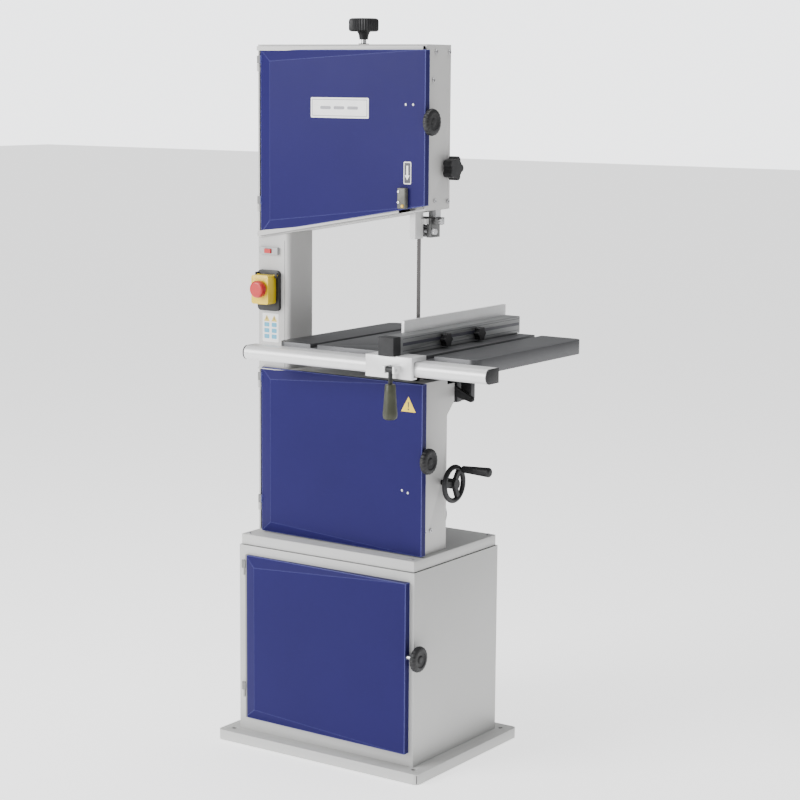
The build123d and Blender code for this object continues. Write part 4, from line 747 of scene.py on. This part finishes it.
# ---------------------------------------------------------------- plates, labels and small screws
BADGE_X, BADGE_Z = 11, 1522
ARROW_X, ARROW_Z = 198, 1381
SIGN_X, SIGN_Z = 206, 843
COLUMN_LABEL_X, COLUMN_LABEL_Z = -202, 1003
THROAT_LOW, THROAT_HIGH, SHADOW_LINE_LENGTH = 908, 1214, 300
BOLT_FACE = 235.2
SIDE_BOLTS = {
    # head: (y, z) on the housings' blade side
    "bolt_a": (-86, 1648),
    "bolt_b": (-32, 1648),
    "bolt_c": (-96, 1586),
    "bolt_d": (-85, 1318),
    "bolt_e": (-32, 1315),
    "bolt_f": (-112, 563),
    "bolt_g": (-89, 563),
}
FACE_FINISH_SLOTS = {
    LABEL_WHITE.name: "guard_metal",
    LABEL_BLUE.name: "guard_metal",
    DARK_PRINT_AND_SHADE.name: "knob_plastic",
    BADGE_GREY.name: "knob_plastic",
    LABEL_AMBER.name: "flap_yellow",
    FLAP_YELLOW.name: "flap_yellow",
}


def label(name, size, spot, thickness, corner, face_finish, body):
    """A thin plate that faces the operator: printed labels, and the column's painted shadow line."""
    plate(name, size, spot, "-y", thickness, corner, face_finish, body, FACE_FINISH_SLOTS[face_finish.name])


def sign_shape(name, points, y, thickness, face_finish, body):
    """A printed shape that faces the operator, from (x, z) points."""
    outline_plate(name, points, y, thickness, face_finish, body, FACE_FINISH_SLOTS[face_finish.name])


door_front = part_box("upper_door")[0].y * 1000
label("badge", (162, 46), (BADGE_X, door_front, BADGE_Z), 1.2, 3, LABEL_WHITE, "upper_door")
border_at = (BADGE_X, door_front - 1.2, BADGE_Z)
label("badge_border", (154, 38), border_at, 0.15, 2, BADGE_GREY, "upper_door")
field_at = (BADGE_X, door_front - 1.35, BADGE_Z)
label("badge_field", (151, 35), field_at, 0.15, 2, LABEL_WHITE, "upper_door")
for step in range(3):
    spot = (BADGE_X - 39 + step * 38, door_front - 1.5, BADGE_Z)
    label(f"badge_bar_{step}", (30, 7), spot, 0.15, 3, BADGE_GREY, "upper_door")

label("arrow_label", (20, 50), (ARROW_X, door_front, ARROW_Z), 0.5, 3, LABEL_WHITE, "upper_door")
label("arrow_field", (16, 45), (ARROW_X, door_front - 0.5, ARROW_Z), 0.3, 2, DARK_PRINT_AND_SHADE, "upper_door")
half_arrow = [(2.5, 16), (2.5, -5), (6.5, -5), (0, -16)]
arrow = [(ARROW_X - 2.5, ARROW_Z + 16)]
arrow += [(ARROW_X + across, ARROW_Z + up) for across, up in half_arrow]
arrow += [(ARROW_X - across, ARROW_Z + up) for across, up in half_arrow[2:0:-1]]
sign_shape("arrow_mark", arrow, door_front - 0.8, 0.3, LABEL_WHITE, "upper_door")

laser_low, laser_high = (corner * 1000 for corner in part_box("laser_unit"))
for name, z in (("low", laser_low.z + 14), ("high", laser_high.z - 8)):
    spot = (laser_low.x + 4.5, laser_low.y, z)
    socket_screw(f"laser_screw_{name}", spot, (0, -1, 0), 3, 1.8, BRIGHT_STEEL, "upper_door", "steel")
lens = [(3.6, 0), (3.6, 1.6), (2.8, 2.4), (1.2, 2.7)]
lens_at = (laser_high.x - 7, laser_low.y, laser_low.z + 6)
turned("laser_lens", lens, lens_at, (0, -1, 0), LENS_YELLOW, "upper_door", "flap_yellow", 24)

column_low, column_high = (corner * 1000 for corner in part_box("column"))
column_front = column_low.y
# painted shadow line: a thin dark strip down the column's front-right corner stands for the shade in the
# gap there
shadow_line_at = (column_high.x - 13, column_front, (THROAT_LOW + THROAT_HIGH) / 2)
label("column_shadow_line", (1.2, SHADOW_LINE_LENGTH), shadow_line_at, 0.15, 0.3, DARK_PRINT_AND_SHADE, "frame")
label_at = (COLUMN_LABEL_X, column_front, COLUMN_LABEL_Z)
label("column_label", (48, 68), label_at, 0.5, 3, LABEL_WHITE, "frame")
for side, x in (("left", COLUMN_LABEL_X - 11), ("right", COLUMN_LABEL_X + 11)):
    low, high = COLUMN_LABEL_Z + 15, COLUMN_LABEL_Z + 30
    triangle = [(x - 8.5, low), (x + 8.5, low), (x, high)]
    name = f"column_label_sign_{side}"
    sign_shape(name, triangle, column_front - 0.5, 0.2, LABEL_AMBER, "frame")
    bar = [(x - 0.9, low + 4), (x + 0.9, low + 4), (x + 1.2, high - 4.5), (x - 1.2, high - 4.5)]
    name = f"column_label_mark_{side}"
    sign_shape(name, bar, column_front - 0.7, 0.1, DARK_PRINT_AND_SHADE, "frame")
    for row in range(3):
        spot = (x, column_front - 0.5, COLUMN_LABEL_Z + 7 - row * 14)
        name = f"column_label_field_{side}_{row}"
        label(name, (15, 10), spot, 0.2, 2, LABEL_BLUE, "frame")

lower_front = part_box("lower_door")[0].y * 1000
sign = [(SIGN_X - 20, SIGN_Z), (SIGN_X + 20, SIGN_Z), (SIGN_X, SIGN_Z + 35)]
sign_shape("door_sign", sign, lower_front, 0.4, FLAP_YELLOW, "lower_door")
low, high = SIGN_Z + 10, SIGN_Z + 23
bar = [(SIGN_X - 1.6, high), (SIGN_X + 1.6, high), (SIGN_X + 1, low), (SIGN_X - 1, low)]
sign_shape("door_sign_bar", bar, lower_front - 0.4, 0.2, DARK_PRINT_AND_SHADE, "lower_door")
low, high = SIGN_Z + 4, SIGN_Z + 7.5
dot = [(SIGN_X - 1.7, high), (SIGN_X + 1.7, high), (SIGN_X + 1.7, low), (SIGN_X - 1.7, low)]
sign_shape("door_sign_dot", dot, lower_front - 0.4, 0.2, DARK_PRINT_AND_SHADE, "lower_door")

for name, x, z, body, y in (
    ("upper_door_left", 192, 1532, "upper_door", door_front),
    ("upper_door_right", 212, 1532, "upper_door", door_front),
    ("lower_door_left", 190, 660, "lower_door", lower_front),
    ("lower_door_right", 206, 656, "lower_door", lower_front),
):
    dome_rivet(f"rivet_{name}", (x, y, z), (0, -1, 0), 3.2, BRIGHT_STEEL, body, "steel")

for name, place in SIDE_BOLTS.items():
    spot = (BOLT_FACE, *place)
    head = socket_screw(name, spot, (1, 0, 0), 5, 3.5, BRIGHT_STEEL, "frame", "steel")
    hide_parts("frame_bolts")

# ---------------------------------------------------------------- lips, caps and thumb screws
def corners(node):
    """A CAD node's lowest and highest corners, in millimetres."""
    low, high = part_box(node)
    return low * 1000, high * 1000


HOUSING_WALL, LIP_T, UPPER_BOTTOM_RIGHT = 4.0, 2, 1298.0


def lip_above(name, door, housing):
    """The folded strip of a housing that shows above its door."""
    low, high = corners(door)[1].z - 2, corners(housing)[1].z - HOUSING_WALL
    strip = [(left, low), (right, low), (right, high), (left, high)]
    outline_plate(name, strip, lip_y, LIP_T, BODY_GREY, "frame", "body_paint")


upper_low, upper_high = corners("upper_housing")
lip_y = upper_low.y + LIP_T + 0.2
left, right = upper_low.x + HOUSING_WALL, upper_high.x - HOUSING_WALL
lip_above("upper_top_lip", "upper_door", "upper_housing")
slope = (UPPER_BOTTOM_RIGHT - upper_low.z) / (upper_high.x - upper_low.x)
lip_end = corners("upper_door")[1].x - 75
low, high = HOUSING_WALL, HOUSING_WALL + 12
bottom_lip = [
    (x, upper_low.z + slope * (x - upper_low.x) + rise)
    for x, rise in ((left, low), (lip_end, low), (lip_end, high), (left, high))
]
outline_plate("upper_bottom_lip", bottom_lip, lip_y, LIP_T, BODY_GREY, "frame", "body_paint")
lip_above("lower_top_lip", "lower_door", "lower_housing")

fence_low, fence_high = corners("fence_body")
cap_at = ((fence_low.x + fence_high.x) / 2, fence_low.y + 26, (fence_low.z + fence_high.z) / 2)
cap_size = (fence_high.x - fence_low.x + 1.6, fence_high.z - fence_low.z + 1.0)
plate("fence_end_cap", cap_size, cap_at, "-y", 28, 2, BLACK, "fence", "knob_plastic")
groove_length = fence_high.y - fence_low.y - 40
groove_at = (fence_high.x - 0.2, (fence_low.y + fence_high.y) / 2 + 16)
# painted shade: the 7 mm dark strip stands for the shade inside the fence's groove; the two thin dark lines
# run along the side above and below it
for name, z, width in (("groove_shade", 0.56, 7), ("lower_line", 0.2, 1.2), ("upper_line", 0.86, 1.2)):
    spot = (*groove_at, fence_low.z + (fence_high.z - fence_low.z) * z)
    size = (groove_length, width)
    plate(f"fence_{name}", size, spot, "+x", 0.3, 0.4, DARK_PRINT_AND_SHADE, "fence", "knob_plastic")

stand_low, stand_high = corners("stand_top")
for column in (-1, 1):
    for row in (-1, 1):
        spot = (column * (stand_high.x - 14), row * (stand_high.y - 12), stand_high.z)
        socket_screw(f"stand_screw_{column}_{row}", spot, (0, 0, 1), 4, 2.5, BRIGHT_STEEL, "frame", "steel")

block_low, block_high = corners("guide_block")
for name, x, y, z in (("high", block_high.x, -50, 1270), ("low", 212, -60, 1247)):
    spot = (x, y, z)
    profile = [(3, 0), (3, 3), (7, 3.4), (7.5, 4.2), (7.5, 10.6), (6.8, 11.4), (2, 11.6)]
    turned(f"guide_thumb_{name}", profile, spot, (1, 0, 0), BRIGHT_STEEL, "guide", "steel", 96, 24, 0.5)

# ---------------------------------------------------------------- floor, light and camera
def mesh_plane(name, size, z):
    """A flat square sheet."""
    shape = bmesh.new()
    corners = [(-size, -size), (size, -size), (size, size), (-size, size)]
    shape.faces.new([shape.verts.new((x, y, z)) for x, y in corners])
    mesh = bpy.data.meshes.new(name)
    shape.to_mesh(mesh)
    shape.free()
    made = bpy.data.objects.new(name, mesh)
    bpy.context.scene.collection.objects.link(made)
    return made


floor = mesh_plane("floor", 30.0, 0.0)
floor_paint = Finish("floor_pale")
floor.data.materials.append(
    floor_paint.finish(
        Base_Color=(0.90, 0.90, 0.90),
        Roughness=0.7,
        Emission_Color=(1.0, 1.0, 1.0),
        Emission_Strength=1.35,
    )
)

world = bpy.data.worlds.new("studio")
world.use_nodes = True
backdrop = world.node_tree.nodes["Background"]
backdrop.inputs[0].default_value = (0.97, 0.98, 1.0, 1)
sight = world.node_tree.nodes.new("ShaderNodeLightPath")
strength = world.node_tree.nodes.new("ShaderNodeMapRange")
strength.inputs[3].default_value = 0.42
strength.inputs[4].default_value = 3.3
world.node_tree.links.new(sight.outputs["Is Camera Ray"], strength.inputs[0])
world.node_tree.links.new(strength.outputs[0], backdrop.inputs[1])
bpy.context.scene.world = world


def soft_light(name, place, aim, size, power):
    """A large area light pointed at a spot."""
    lamp = bpy.data.lights.new(name, "AREA")
    lamp.shape = "RECTANGLE"
    lamp.size, lamp.size_y = size
    lamp.energy = power
    made = bpy.data.objects.new(name, lamp)
    made.location = place
    made.rotation_euler = (Vector(aim) - Vector(place)).to_track_quat("-Z", "Y").to_euler()
    bpy.context.scene.collection.objects.link(made)


soft_light("key", (-2.0, -3.6, 2.4), (0, 0, 0.95), (2.4, 2.4), 230)
soft_light("fill", (3.6, -2.0, 1.8), (0, 0, 0.9), (2.0, 2.6), 8)
soft_light("top", (0.2, 0.2, 4.0), (0, 0, 0.8), (3.0, 3.0), 110)

CAMERA_AT = Vector((2.794, -3.960, 1.597))
TURN, DOWN, ROLL = radians(34.35), radians(8.95), radians(0.44)
look = Vector((-sin(TURN) * cos(DOWN), cos(TURN) * cos(DOWN), -sin(DOWN)))
camera_data = bpy.data.cameras.new("camera")
camera_data.lens = 92.94
camera_data.sensor_width = 36.0
camera_data.clip_end = 100.0
camera = bpy.data.objects.new("camera", camera_data)
camera.location = CAMERA_AT
level = look.to_track_quat("-Z", "Y").to_matrix()
camera.rotation_euler = (level @ Matrix.Rotation(ROLL, 3, "Z")).to_euler()
bpy.context.scene.collection.objects.link(camera)
bpy.context.scene.camera = camera
